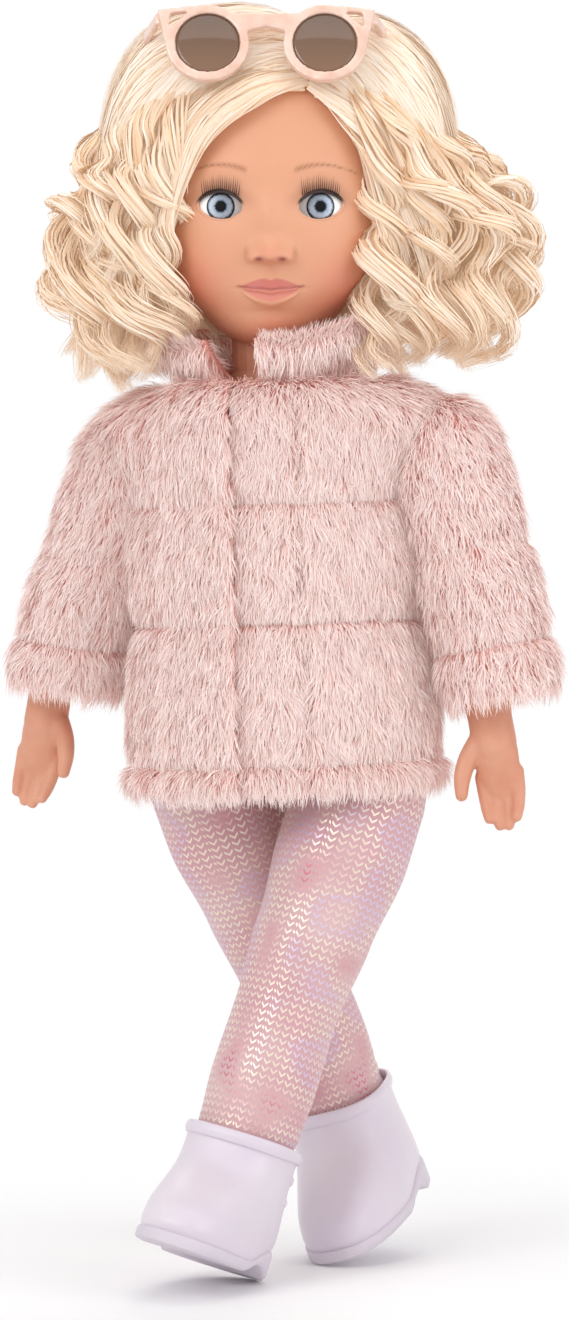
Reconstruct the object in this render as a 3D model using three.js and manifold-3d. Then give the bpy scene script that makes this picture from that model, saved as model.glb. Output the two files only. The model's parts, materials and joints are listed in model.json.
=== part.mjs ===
// A jointed play doll with a vinyl head, arms and legs on a stuffed cloth body,
// dressed in a quilted jacket, leggings, ankle boots and sunglasses.
// Millimetres, +Z up. The doll faces -Y and its own left side is +X.
import * as THREE from 'three';
import { mergeVertices } from 'three/addons/utils/BufferGeometryUtils.js';
import Module from 'manifold-3d';

const wasm = await Module();
wasm.setup();

// Clearances
const SEAT_GAP = 0.4; // between a piece and what it sits on
const TURN_GAP = 0.8; // between a moving piece and what it turns in

// Stance
const HIP_HEIGHT = 190; // hip centres above the floor, before the feet are set down
const BODY_YAW = 18; // degrees, the left shoulder comes forward
const TORSO_LEAN = -2; // degrees, the shoulders go to the doll's right
const PELVIS_TILT = 5.8; // degrees, the left hip drops

// Body
const HIP_OFFSET = 31; // hip centre from the middle of the body
const SHOULDER_RISE = 104; // shoulder axis above the hips
const SHOULDER_OFFSET = 68; // shoulder ball centre from the middle of the body
const TORSO_HALF_WIDTH = 42.5;
const TORSO_HALF_DEPTH = 31;
const TORSO_CAP = 20; // top of the stuffed cloth body above the shoulder axis
const TORSO_TOP = SHOULDER_RISE + TORSO_CAP;
const NECK_LENGTH = 16; // head pivot above the cloth body
const NECK_RISE = TORSO_TOP + NECK_LENGTH;
const KEEL_RADIUS = 7.6; // crotch piece between the hip balls
const KEEL_HALF_WIDTH = 4.5;
const NECK_RADIUS = 14;
const PLATE_THICKNESS = 3; // vinyl shoulder plate

// Arms
const ARM_RADIUS = 12.5; // at the shoulder ball
const ARM_LENGTH = 92; // shoulder axis to wrist
const WRIST_RADIUS = 9;
const HAND_LENGTH = 40;
const ARM_LEANS = { left: 9, right: 10.5 }; // degrees out from the body
const SHOULDER_DISC = { radius: 10, thickness: 3, stem: 4.5 }; // disc that holds an arm in the body

// Legs
const LEG_LENGTH = 189; // hip centre to the underside of the boot
const HIP_BALL_RADIUS = 18.8;
const HIP_DISC = { radius: 5.4, thickness: 1.2, stem: 2.6 }; // disc that holds a leg in the body
const THIGH_RADIUS = 21.6;
const KNEE_RADIUS = 16.2;
const CALF_RADIUS = 16.6;
const ANKLE_RADIUS = 12;
const THIGH_DROP = 36; // widest part of the thigh below the hip
const KNEE_DROP = 96;
const CALF_DROP = 120;
const ANKLE_HEIGHT = 21; // above the underside of the boot
const ANKLE_DROP = LEG_LENGTH - ANKLE_HEIGHT;
const LEG_POSES = {
  left: { lean: 17.8, swing: -10.5, twist: -19 }, // degrees: down to the right, forward, toe turn
  right: { lean: -20, swing: 10.5, twist: -22 },
};
const LEGGING_THICKNESS = 1.4;
const LEGGING_HEIGHT = 31; // lower edge of a legging above the underside of the boot
const LEGGING_DROP = LEG_LENGTH - LEGGING_HEIGHT;

// Boots
const BOOT_HEIGHT = 46; // underside to rim
const BOOT_WALL = 1.8;
const BOOT_EASE = 6.6; // shaft of the boot outside the bare ankle
const BOOT_HALF_WIDTH = 19.5;
const BOOT_TOE_REACH = 49; // toe in front of the leg's axis
const BOOT_HEEL_REACH = 23; // heel behind the leg's axis
const SOLE_THICKNESS = 4;
const HEEL_HEIGHT = 10;
const INSOLE_THICKNESS = 1.2; // foot above the sole
const RIM_HEIGHT = 5;
const STUD_RADIUS = 2.2;
const STUD_ANGLE = 112; // degrees round the boot from the toe
const STUD_HEIGHTS = [28, 36]; // above the underside
const BALL_REACH = 16; // ball of the foot in front of the leg's axis
const HEEL_FRONT = 6; // front of the heel behind the leg's axis
const SOLE_LIP = 1; // sole stands proud of the upper
const ARCH_RADIUS = 16;
const ARCH_HEIGHT = 4;

// Jacket
const JACKET_HALF_WIDTH = 51; // before the quilting swells it
const JACKET_HALF_DEPTH = 41;
const JACKET_PADDING = 5.6; // cloth and stuffing together
const SKIRT_PADDING = 2.2;
const SKIRT_FLARE = 5; // hem wider than the waist
const QUILT_SWELL = 3.2;
const HEM_DROP = 15; // hem below the hips
const HEM_SEAM = -6.5; // hem seam above the hips
const WAIST_SEAM = 46; // lower quilting line above the hips
const CHEST_SEAM = 88; // upper quilting line above the hips
const YOKE_DROP = 16; // the shoulders start to close in this far under the shoulder axis
const YOKE_START = SHOULDER_RISE - YOKE_DROP;
const COLLAR_RISE = 27; // jacket neck above the shoulder axis
const COLLAR_SEAM = SHOULDER_RISE + COLLAR_RISE;
const NECKLINE_RADIUS = 25;
const ARMHOLE_RADIUS = 8.5;
const SIDE_PLANE = 55; // sleeves stay outside this distance from the middle
const SLEEVE_PADDING = 6.4;
const SLEEVE_LENGTH = 92; // shoulder axis to cuff edge
const SLEEVE_TIERS = 2.5; // quilted rolls on a sleeve
const PLACKET_CENTRE = -16; // degrees round the body from the front
const PLACKET_HALF_ANGLE = 13;
const PLACKET_THICKNESS = 3.2;
const COLLAR_HEIGHT = 17; // at the nape
const COLLAR_FRONT_HEIGHT = 7;
const COLLAR_LEAN = 10;
const COLLAR_OPENING = 30; // degrees left open at the throat
const COLLAR_THICKNESS = 4;

// Head
const HEAD_RISE = 58; // head centre above the head pivot
const HEAD_FORWARD = 3;
const HEAD_HALF_WIDTH = 43;
const FACE_DEPTH = 45;
const SKULL_DEPTH = 47;
const CROWN_HEIGHT = 57;
const JAW_HEIGHT = 55;
const HEAD_WALL = 4;
const EYE_SPACING = 35;
const EYE_DROP = 7; // eyes below the head centre
const EYEBALL_RADIUS = 10.5;
const EYE_INSET = 1.4; // eyeball behind the face
const EYE_OPENING_WIDTH = 15.2;
const EYE_OPENING_HEIGHT = 10;
const IRIS_RADIUS = 4.8;
const LASH_ANGLE = 17; // degrees above the middle of the eye
const LASH_REACH = 2;
const LASH_SPAN = 44; // degrees round the eye
const LASH_THICKNESS = 0.6;
const IRIS_DEPTH = 1.8;
const WEIGHT_RADIUS = 2.6;
const WEIGHT_REACH = 17; // behind the eye's axis
const WEIGHT_DROP = 6;
const SOCKET_LENGTH = 7;
const SOCKET_WALL = 1.6;
const JAW_TAPER = 0.06;
const FULLNESS = 2.25; // 2 is an ellipsoid, more is rounder in the cheeks
const HAIR_DEPTH = 11;
const HAIR_ROOT_GAP = 2.2; // clears the skull's facets
const HAIRLINE = 35; // above the head centre
const PARTING_SIDE = 13; // parting to the doll's left
const BACK_SPREAD = 52; // degrees to each side of the nape
const LOCK_RADIUS = 15;
const LOCK_STRETCH = 2;
const TURN_CLEAR_RADIUS = 44; // the collar stands inside this circle round the neck
const TURN_CLEAR_COLLAR = 13; // collar top above the head pivot's level, hair stays over it
const TURN_CLEAR_SHOULDER = -11; // shoulders below the head pivot's level

// Sunglasses
const LENS_RADIUS = 11.4;
const LENS_SPACING = 41;
const RIM_WIDTH = 3.2;
const FRAME_THICKNESS = 3;
const LENS_THICKNESS = 1.4;
const TEMPLE_LENGTH = 66;
const TEMPLE_HEIGHT = 4;
const TEMPLE_THICKNESS = 2;
const TEMPLE_BOW = 9; // outward curve
const TEMPLE_DROP = 9; // downward curve at the ear
const TIP_OUT = 17.6; // upswept corner from the lens centre
const TIP_UP = 12.6;
const GLASSES_SHIFT = -1.5;
const GLASSES_RISE = 49; // bridge above the head centre
const GLASSES_FORWARD = 41; // bridge in front of the head centre
const GLASSES_PITCH = 20; // degrees, the top leans back

const COLOURS = {
  skin: { color: 0xf0b491, roughness: 0.5 },
  cloth: { color: 0xe9d8c8, roughness: 0.95 },
  hair: { color: 0xeeddbb, roughness: 0.6 },
  fur: { color: 0xf0c3b9, roughness: 0.95 },
  legging: { color: 0xe4bec3, roughness: 0.6 },
  boot: { color: 0xe6dee8, roughness: 0.35 },
  sole: { color: 0xddd3e0, roughness: 0.45 },
  eyeWhite: { color: 0xf6f3ef, roughness: 0.2 },
  iris: { color: 0x8fb2cc, roughness: 0.15 },
  lash: { color: 0x2a1c16, roughness: 0.7 },
  weight: { color: 0x6d6f73, roughness: 0.5, metalness: 0.8 },
  joint: { color: 0xece7df, roughness: 0.5 },
  frame: { color: 0xf2c8b4, roughness: 0.3, metalness: 0.3 },
  lens: { color: 0x7a5a46, roughness: 0.1 },
};

const SIDES = { left: 1, right: -1 };
const rad = THREE.MathUtils.degToRad;
const vec = (x, y, z) => new THREE.Vector3(x, y, z);

// Geometry helpers

function indexed(points, triangles) {
  const geometry = new THREE.BufferGeometry();
  const flat = points.flatMap((p) => [p.x, p.y, p.z]);
  geometry.setAttribute('position', new THREE.Float32BufferAttribute(flat, 3));
  let volume = 0;
  for (let i = 0; i < triangles.length; i += 3) {
    const [a, b, c] = [0, 1, 2].map((k) => points[triangles[i + k]]);
    volume += a.dot(vec(0, 0, 0).crossVectors(b, c));
  }
  geometry.setIndex(volume < 0 ? triangles.reverse() : triangles);
  return geometry;
}

// Skin over rings of points, closed at each end by a fan round the ring's middle.
function loft(rings) {
  const count = rings[0].length;
  const points = rings.flat();
  const triangles = [];
  for (let i = 0; i + 1 < rings.length; i += 1) {
    for (let j = 0; j < count; j += 1) {
      const a = i * count + j;
      const b = i * count + ((j + 1) % count);
      triangles.push(a, b, a + count, b, b + count, a + count);
    }
  }
  const ends = [[rings[0], 0, 1], [rings.at(-1), (rings.length - 1) * count, -1]];
  for (const [ring, first, turn] of ends) {
    const middle = points.push(ring.reduce((s, p) => s.add(p), vec(0, 0, 0)).divideScalar(count)) - 1;
    for (let j = 0; j < count; j += 1) {
      const pair = [first + j, first + ((j + 1) % count)];
      triangles.push(middle, ...(turn > 0 ? pair.reverse() : pair));
    }
  }
  return indexed(points, triangles);
}

// Solid between an outer and an inner grid of points. A grid is a list of columns.
function slab(outer, inner, closed = false) {
  const columns = outer.length;
  const rows = outer[0].length;
  const points = [...outer.flat(), ...inner.flat()];
  const triangles = [];
  const at = (i, j, layer) => layer * columns * rows + (i % columns) * rows + j;
  const quad = (a, b, c, d) => triangles.push(a, b, c, a, c, d);
  const steps = closed ? columns : columns - 1;
  for (let i = 0; i < steps; i += 1) {
    for (let j = 0; j + 1 < rows; j += 1) {
      quad(at(i, j, 0), at(i + 1, j, 0), at(i + 1, j + 1, 0), at(i, j + 1, 0));
      quad(at(i, j, 1), at(i, j + 1, 1), at(i + 1, j + 1, 1), at(i + 1, j, 1));
    }
    quad(at(i, 0, 0), at(i, 0, 1), at(i + 1, 0, 1), at(i + 1, 0, 0));
    quad(at(i, rows - 1, 0), at(i + 1, rows - 1, 0), at(i + 1, rows - 1, 1), at(i, rows - 1, 1));
  }
  if (!closed) {
    for (let j = 0; j + 1 < rows; j += 1) {
      quad(at(0, j, 0), at(0, j + 1, 0), at(0, j + 1, 1), at(0, j, 1));
      const last = columns - 1;
      quad(at(last, j, 0), at(last, j, 1), at(last, j + 1, 1), at(last, j + 1, 0));
    }
  }
  return indexed(points, triangles);
}

// Rings round the Z axis from stations [z, half width, half depth, shift x, shift y].
function ellipseRings(stations, sides) {
  return stations.map(([z, halfWidth, halfDepth = halfWidth, shiftX = 0, shiftY = 0]) =>
    Array.from({ length: sides }, (_, k) => {
      const angle = (2 * Math.PI * k) / sides;
      return vec(shiftX + halfWidth * Math.sin(angle), shiftY - halfDepth * Math.cos(angle), z);
    }));
}

// Stations of a round cap that ends a limb of the given radius at height 0.
function domeStations(radius, steps, depth = radius) {
  return Array.from({ length: steps }, (_, k) => {
    const angle = (Math.PI / 2) * (1 - (k + 0.45) / steps);
    return [radius * Math.sin(angle), radius * Math.cos(angle), depth * Math.cos(angle)];
  });
}

function toSolid(geometry) {
  const bare = geometry.clone();
  bare.deleteAttribute('normal');
  bare.deleteAttribute('uv');
  const merged = mergeVertices(bare, 1e-4);
  return new wasm.Manifold(new wasm.Mesh({
    numProp: 3,
    vertProperties: new Float32Array(merged.attributes.position.array),
    triVerts: new Uint32Array(merged.index.array),
  }));
}

function toGeometry(solid) {
  const mesh = solid.getMesh();
  const geometry = new THREE.BufferGeometry();
  geometry.setAttribute('position', new THREE.BufferAttribute(new Float32Array(mesh.vertProperties), 3));
  geometry.setIndex(Array.from(mesh.triVerts));
  return geometry;
}

const join = (first, ...rest) =>
  toGeometry(rest.reduce((solid, other) => solid.add(toSolid(other)), toSolid(first)));
const cut = (first, ...rest) =>
  toGeometry(rest.reduce((solid, other) => solid.subtract(toSolid(other)), toSolid(first)));
const common = (first, ...rest) =>
  toGeometry(rest.reduce((solid, other) => solid.intersect(toSolid(other)), toSolid(first)));

const ball = (radius, centre, columns = 12, rows = 9) =>
  new THREE.SphereGeometry(radius, columns, rows).rotateX(Math.PI / 2).translate(...centre.toArray());

function box(low, high) {
  const size = high.clone().sub(low);
  const middle = low.clone().add(high).multiplyScalar(0.5);
  return new THREE.BoxGeometry(...size.toArray()).translate(...middle.toArray());
}

// Cylinder from one point to another.
function rod(radius, from, to, sides = 12) {
  const along = to.clone().sub(from);
  const geometry = new THREE.CylinderGeometry(radius, radius, along.length(), sides);
  const turn = new THREE.Quaternion().setFromUnitVectors(vec(0, 1, 0), along.clone().normalize());
  const middle = from.clone().add(to).multiplyScalar(0.5);
  return geometry.applyQuaternion(turn).translate(...middle.toArray());
}

function addMesh(group, name, geometry, colour) {
  const shaded = geometry.index ? geometry.toNonIndexed() : geometry;
  shaded.computeVertexNormals();
  const mesh = new THREE.Mesh(shaded, new THREE.MeshStandardMaterial(COLOURS[colour]));
  mesh.name = name;
  group.add(mesh);
  return mesh;
}

function addGroup(parent, position, rotation = [0, 0, 0]) {
  const group = new THREE.Group();
  group.position.copy(position);
  group.rotation.set(...rotation.map(rad), 'YXZ');
  parent.add(group);
  group.updateWorldMatrix(true, false);
  return group;
}

const FAR = 400; // reaches past the whole doll

// Layout

const doll = new THREE.Group();
const hips = vec(0, 0, HIP_HEIGHT);
const pelvis = addGroup(doll, hips, [0, PELVIS_TILT, -BODY_YAW]);
const torso = addGroup(doll, hips, [0, TORSO_LEAN, -BODY_YAW]);
const headPivot = torso.localToWorld(vec(0, 0, NECK_RISE));
const neck = addGroup(doll, headPivot);
const head = addGroup(doll, headPivot);

// Stuffed cloth body, with a pocket for the disc of each limb

// Pocket for a disc, open to the side through the bore of its stem.
function discPocket(side, disc, reach, height) {
  const inner = vec(side * (reach - disc.thickness - 2 * TURN_GAP), 0, height);
  const pocket = rod(disc.radius + TURN_GAP, inner, vec(side * reach, 0, height));
  const bore = rod(disc.stem + TURN_GAP, inner, vec(side * FAR, 0, height));
  return join(pocket, bore);
}

// Disc and stem that hold a limb: the stem runs from the disc to the middle of the limb's ball.
function limbDisc(side, disc, reach, limbOffset, height) {
  const outer = vec(side * (reach - TURN_GAP), 0, height);
  const inner = outer.clone().sub(vec(side * disc.thickness, 0, 0));
  const stemEnd = vec(side * (limbOffset - SEAT_GAP), 0, height);
  return join(rod(disc.radius, inner, outer), rod(disc.stem, inner, stemEnd));
}

const POCKET_WALL = 1.2; // cloth outside a hip disc
const SHOULDER_POCKET = TORSO_HALF_WIDTH - 5; // outer wall of the shoulder pocket from the middle
const HIP_POCKET = KEEL_HALF_WIDTH - POCKET_WALL;
const HIP_TILT_DROP = HIP_OFFSET * Math.sin(rad(PELVIS_TILT - TORSO_LEAN));
const BODY_BOTTOM = HIP_BALL_RADIUS + LEGGING_THICKNESS + 2 * TURN_GAP + HIP_TILT_DROP;

function torsoStations(grow) {
  const width = TORSO_HALF_WIDTH + grow;
  const depth = TORSO_HALF_DEPTH + grow;
  return [
    [BODY_BOTTOM - grow, width * 0.8, depth * 0.8],
    [BODY_BOTTOM + 5, width, depth],
    [WAIST_SEAM + 8, width * 0.88, depth * 0.9],
    [CHEST_SEAM - 8, width * 0.95, depth],
    [SHOULDER_RISE, width, depth * 0.86],
    [TORSO_TOP - 6, width * 0.9, depth * 0.72],
    [TORSO_TOP + grow, width * 0.66, depth * 0.52],
  ];
}

// The hips tilt against the shoulders, so what the legs fit is turned with the pelvis.
const pelvisInTorso = torso.matrixWorld.clone().invert().multiply(pelvis.matrixWorld);
const keel = join(
  rod(KEEL_RADIUS, vec(-KEEL_HALF_WIDTH, 0, 0), vec(KEEL_HALF_WIDTH, 0, 0)),
  box(vec(-KEEL_HALF_WIDTH, -KEEL_RADIUS, 0), vec(KEEL_HALF_WIDTH, KEEL_RADIUS, BODY_BOTTOM + 4)),
).applyMatrix4(pelvisInTorso);
const hipPockets = [1, -1].map((side) => discPocket(side, HIP_DISC, HIP_POCKET, 0).applyMatrix4(pelvisInTorso));
const clothBody = cut(
  join(loft(ellipseRings(torsoStations(0), 18)), keel),
  ...[1, -1].map((side) => discPocket(side, SHOULDER_DISC, SHOULDER_POCKET, SHOULDER_RISE)),
  ...hipPockets,
);
addMesh(torso, 'torso', clothBody, 'cloth');

// Vinyl shoulder plate with the neck, and the flange that holds the head

const FLANGE_RADIUS = NECK_RADIUS + 5;
const FLANGE_RISE = HEAD_RISE - JAW_HEIGHT + HEAD_WALL + TURN_GAP; // above the head pivot
const PLATE_LOW = TORSO_TOP - 9;

const plateShape = ellipseRings([
  [PLATE_LOW, TORSO_HALF_WIDTH * 0.9 + PLATE_THICKNESS, TORSO_HALF_DEPTH * 0.75 + PLATE_THICKNESS],
  [TORSO_TOP - 2, TORSO_HALF_WIDTH * 0.8 + PLATE_THICKNESS, TORSO_HALF_DEPTH * 0.66 + PLATE_THICKNESS],
  [TORSO_TOP + 3, TORSO_HALF_WIDTH * 0.6, TORSO_HALF_DEPTH * 0.58],
  [TORSO_TOP + 7, NECK_RADIUS + 3, NECK_RADIUS + 2],
  [TORSO_TOP + 11, NECK_RADIUS, NECK_RADIUS],
  [NECK_RISE + FLANGE_RISE - TURN_GAP, NECK_RADIUS, NECK_RADIUS],
], 18);
const plateHollow = loft(ellipseRings(torsoStations(SEAT_GAP), 18));
addMesh(torso, 'shoulder_plate', cut(loft(plateShape), plateHollow), 'skin');
const flangeLow = vec(0, 0, FLANGE_RISE);
const flangeHigh = vec(0, 0, flangeLow.z + PLATE_THICKNESS);
addMesh(neck, 'neck_flange', rod(FLANGE_RADIUS, flangeLow, flangeHigh, 24), 'joint');

// Seat of the leggings round the hips

function bandGrid(stations, sides, grow) {
  const rings = ellipseRings(stations.map(([z, w, d]) => [z, w + grow, d + grow]), sides);
  return rings[0].map((_, k) => rings.map((ring) => ring[k]));
}

const seatStations = torsoStations(SEAT_GAP).slice(1, 3);
const seat = slab(bandGrid(seatStations, 18, LEGGING_THICKNESS), bandGrid(seatStations, 18, 0), true);
addMesh(torso, 'leggings_waist', seat, 'legging');

// Quilted jacket: padded panels round the body, swelling between the quilting lines

const SEAMS = [-HEM_DROP, HEM_SEAM, WAIST_SEAM, CHEST_SEAM, COLLAR_SEAM];

function swell(z) {
  const row = SEAMS.findIndex((seam) => z < seam);
  if (row < 1) return 0;
  const [low, high] = [SEAMS[row - 1], SEAMS[row]];
  const share = Math.sin((Math.PI * (z - low)) / (high - low));
  return QUILT_SWELL * share ** 0.6;
}

function jacketPoint(angle, z, inset) {
  const rise = Math.max(0, (z - YOKE_START) / (COLLAR_SEAM - YOKE_START));
  const close = 1 - Math.cbrt(Math.max(0, 1 - rise ** 3));
  const drop = Math.max(0, (WAIST_SEAM - z) / (WAIST_SEAM + HEM_DROP));
  const grow = swell(z) * (1 - 0.5 * Math.max(close, drop)) + SKIRT_FLARE * drop - inset;
  const width = JACKET_HALF_WIDTH + (NECKLINE_RADIUS - JACKET_HALF_WIDTH) * close + grow;
  const depth = JACKET_HALF_DEPTH + (NECKLINE_RADIUS - JACKET_HALF_DEPTH) * close + grow;
  return vec(width * Math.sin(rad(angle)), -depth * Math.cos(rad(angle)), z);
}

const evenly = (low, high, steps) => Array.from({ length: steps + 1 }, (_, k) => low + ((high - low) * k) / steps);

function jacketGrid(angles, heights, inset) {
  return angles.map((angle) => heights.map((z) => jacketPoint(angle, z, inset)));
}

function jacketPanel(angles, heights, padding) {
  return slab(jacketGrid(angles, heights, 0), jacketGrid(angles, heights, padding));
}

const SEAM_ANGLE = 0.6; // degrees left open beside each upright seam
const PLACKET_EDGE = PLACKET_CENTRE + PLACKET_HALF_ANGLE;
const sideSeams = {
  back: [90 + SEAM_ANGLE, 270 - SEAM_ANGLE],
  front_left: [PLACKET_EDGE + SEAM_ANGLE, 90 - SEAM_ANGLE],
  front_right: [-90 + SEAM_ANGLE, PLACKET_EDGE - SEAM_ANGLE],
};
const armholes = Object.values(SIDES).map((side) =>
  rod(ARMHOLE_RADIUS, vec(side * NECKLINE_RADIUS, 0, SHOULDER_RISE), vec(side * FAR, 0, SHOULDER_RISE)));
const skirtHeights = evenly(-HEM_DROP, WAIST_SEAM - SEAT_GAP, 7);
const bodiceHeights = evenly(WAIST_SEAM, COLLAR_SEAM, 10);
for (const [panel, [from, to]] of Object.entries(sideSeams)) {
  const angles = evenly(from, to, panel === 'back' ? 10 : 6);
  const bodice = jacketPanel(angles, bodiceHeights, JACKET_PADDING);
  addMesh(torso, `jacket_${panel}`, cut(bodice, ...armholes), 'fur');
  addMesh(torso, `jacket_skirt_${panel}`, jacketPanel(angles, skirtHeights, SKIRT_PADDING), 'fur');
}

// Front band that laps over the left front, from hem to collar
const placketAngles = evenly(PLACKET_CENTRE - PLACKET_HALF_ANGLE, PLACKET_EDGE, 2);
const placketHeights = [...skirtHeights, ...bodiceHeights];
const placket = slab(
  jacketGrid(placketAngles, placketHeights, -SEAT_GAP - PLACKET_THICKNESS),
  jacketGrid(placketAngles, placketHeights, -SEAT_GAP),
);
addMesh(torso, 'jacket_placket', placket, 'fur');

// Stand collar, open at the throat and higher at the nape, leaning out from the neck
function collarGrid(inset) {
  const angles = evenly(PLACKET_EDGE + COLLAR_OPENING / 2, PLACKET_EDGE + 360 - COLLAR_OPENING / 2, 16);
  return angles.map((angle) => {
    const nape = THREE.MathUtils.smoothstep(-Math.cos(rad(angle)), -1, 0.2);
    const height = COLLAR_FRONT_HEIGHT + (COLLAR_HEIGHT - COLLAR_FRONT_HEIGHT) * nape;
    return evenly(0, 1, 3).map((share) => {
      const round = COLLAR_THICKNESS * 0.4 * Math.sin(Math.PI * share);
      const radius = NECKLINE_RADIUS + COLLAR_LEAN * share + round - inset;
      const rise = COLLAR_SEAM + SEAT_GAP + height * share;
      return vec(radius * Math.sin(rad(angle)), -radius * Math.cos(rad(angle)), rise);
    });
  });
}
addMesh(torso, 'jacket_collar', slab(collarGrid(0), collarGrid(COLLAR_THICKNESS)), 'fur');

// Arms: vinyl arm with its hand, the disc that holds it in the body, and a padded sleeve

function finger(from, to, radius) {
  const along = to.clone().sub(from);
  const reach = along.length();
  const stations = [[0, radius], [reach * 0.5, radius], [reach * 0.85, radius * 0.8], [reach, radius * 0.4]];
  const turn = new THREE.Quaternion().setFromUnitVectors(vec(0, 0, 1), along.normalize());
  return loft(ellipseRings(stations, 6)).applyQuaternion(turn).translate(...from.toArray());
}

function armShape(side) {
  const palmLow = -ARM_LENGTH - HAND_LENGTH * 0.5;
  const limb = loft(ellipseRings([
    ...domeStations(ARM_RADIUS, 4),
    [-8, ARM_RADIUS],
    [-ARM_LENGTH * 0.45, ARM_RADIUS * 0.86],
    [-ARM_LENGTH * 0.75, ARM_RADIUS * 0.78],
    [-ARM_LENGTH, WRIST_RADIUS, WRIST_RADIUS * 0.85],
    [-ARM_LENGTH - HAND_LENGTH * 0.22, WRIST_RADIUS * 1.1, WRIST_RADIUS * 0.8],
    [palmLow, WRIST_RADIUS * 1.05, WRIST_RADIUS * 0.68],
    [palmLow - 3, WRIST_RADIUS * 0.85, WRIST_RADIUS * 0.5],
  ], 12));
  const fingers = [-1.5, -0.5, 0.5, 1.5].map((place) => {
    const x = place * WRIST_RADIUS * 0.48;
    const reach = HAND_LENGTH * (0.5 - 0.045 * Math.abs(place - 0.3) ** 1.5);
    return finger(vec(x, 0, palmLow + 3), vec(x * 0.75, -3, palmLow - reach), WRIST_RADIUS * 0.29);
  });
  const thumbRoot = vec(-side * WRIST_RADIUS * 0.6, -3, -ARM_LENGTH - HAND_LENGTH * 0.2);
  const thumbTip = vec(-side * WRIST_RADIUS * 1.35, -6, -ARM_LENGTH - HAND_LENGTH * 0.6);
  return join(limb, ...fingers, finger(thumbRoot, thumbTip, WRIST_RADIUS * 0.36));
}

const SLEEVE_BORE = ARM_RADIUS + SEAT_GAP;

function sleeveStations() {
  const radius = SLEEVE_BORE + SLEEVE_PADDING;
  const tube = evenly(0, SLEEVE_LENGTH, 10).map((drop) => {
    const tier = Math.abs(Math.sin((Math.PI * SLEEVE_TIERS * drop) / SLEEVE_LENGTH));
    return [-drop, radius + QUILT_SWELL * 0.6 * tier ** 0.7];
  });
  return [...domeStations(radius, 4), ...tube];
}

function buildArm(name, side) {
  const centre = vec(side * SHOULDER_OFFSET, 0, SHOULDER_RISE);
  const lean = -side * ARM_LEANS[name];
  const arm = addGroup(torso, centre, [0, lean, 0]);
  const inward = vec(-side, 0, 0).applyAxisAngle(vec(0, 1, 0), -rad(lean));
  const stemSeat = rod(SHOULDER_DISC.stem + SEAT_GAP, vec(0, 0, 0), inward.multiplyScalar(FAR));
  addMesh(arm, `${name}_arm`, cut(armShape(side), stemSeat), 'skin');

  const disc = limbDisc(side, SHOULDER_DISC, SHOULDER_POCKET, SHOULDER_OFFSET, SHOULDER_RISE);
  addMesh(torso, `${name}_shoulder_disc`, disc, 'joint');

  const armhole = [vec(side * SIDE_PLANE, 0, SHOULDER_RISE), centre];
  const outer = loft(ellipseRings(sleeveStations(), 14)).applyMatrix4(arm.matrix);
  const bore = [...domeStations(SLEEVE_BORE, 4), [0, SLEEVE_BORE], [-SLEEVE_LENGTH - 1, SLEEVE_BORE]];
  const hollow = loft(ellipseRings(bore, 14)).applyMatrix4(arm.matrix);
  const cap = rod(SLEEVE_BORE + SLEEVE_PADDING - QUILT_SWELL / 2, ...armhole, 14);
  const shell = cut(join(outer, cap), hollow, rod(SLEEVE_BORE, ...armhole));
  const bodySide = box(vec(-FAR, -FAR, -FAR), vec(SIDE_PLANE, FAR, FAR));
  const trimmed = cut(shell, side > 0 ? bodySide : bodySide.translate(FAR - SIDE_PLANE, 0, 0));
  addMesh(torso, `${name}_sleeve`, trimmed, 'fur');
}

for (const [name, side] of Object.entries(SIDES)) buildArm(name, side);

// Legs: vinyl leg with its foot, hip disc, legging, boot upper and sole

function legStations(grow, foot) {
  const ballRadius = HIP_BALL_RADIUS + grow;
  const limb = [
    ...domeStations(ballRadius, 4),
    [0, ballRadius],
    [-THIGH_DROP * 0.5, THIGH_RADIUS * 0.97 + grow],
    [-THIGH_DROP, THIGH_RADIUS + grow],
    [-(THIGH_DROP + KNEE_DROP) / 2, (THIGH_RADIUS + KNEE_RADIUS) / 2 + grow],
    [-KNEE_DROP, KNEE_RADIUS + grow],
    [-CALF_DROP, CALF_RADIUS + grow],
  ];
  const ankle = [[-ANKLE_DROP + 14, ANKLE_RADIUS + 1.5 + grow], [-ANKLE_DROP, ANKLE_RADIUS + grow]];
  return foot ? [...limb, ...ankle] : [...limb, [-LEGGING_DROP, ANKLE_RADIUS + 3 + grow]];
}

// Boot sections: [height above the floor, toe reach, heel reach, half width]
function bootSections(inset) {
  const rim = BOOT_HEIGHT;
  const ankleReach = ANKLE_RADIUS + BOOT_EASE;
  return [
    [SOLE_THICKNESS, BOOT_TOE_REACH, BOOT_HEEL_REACH, BOOT_HALF_WIDTH],
    [SOLE_THICKNESS + 6, BOOT_TOE_REACH + 0.5, BOOT_HEEL_REACH, BOOT_HALF_WIDTH + 0.6],
    [SOLE_THICKNESS + 15, BOOT_TOE_REACH * 0.86, BOOT_HEEL_REACH, BOOT_HALF_WIDTH],
    [SOLE_THICKNESS + 22, BOOT_TOE_REACH * 0.62, BOOT_HEEL_REACH * 0.98, BOOT_HALF_WIDTH - 0.2],
    [SOLE_THICKNESS + 30, ankleReach + 3, BOOT_HEEL_REACH * 0.92, BOOT_HALF_WIDTH - 0.4],
    [rim - RIM_HEIGHT, ankleReach + 1, ankleReach + 1.5, ankleReach + 1],
    [rim, ankleReach + 1.6, ankleReach + 2, ankleReach + 1.6],
  ].map(([height, toe, heel, width]) => [height, toe - inset, heel - inset, width - inset]);
}

// Height of the footbed: low under the ball of the foot, raised on the heel.
function footbed(y) {
  const share = THREE.MathUtils.smoothstep(y, -BALL_REACH, HEEL_FRONT);
  return SOLE_THICKNESS + (HEEL_HEIGHT - SOLE_THICKNESS) * share;
}

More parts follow.
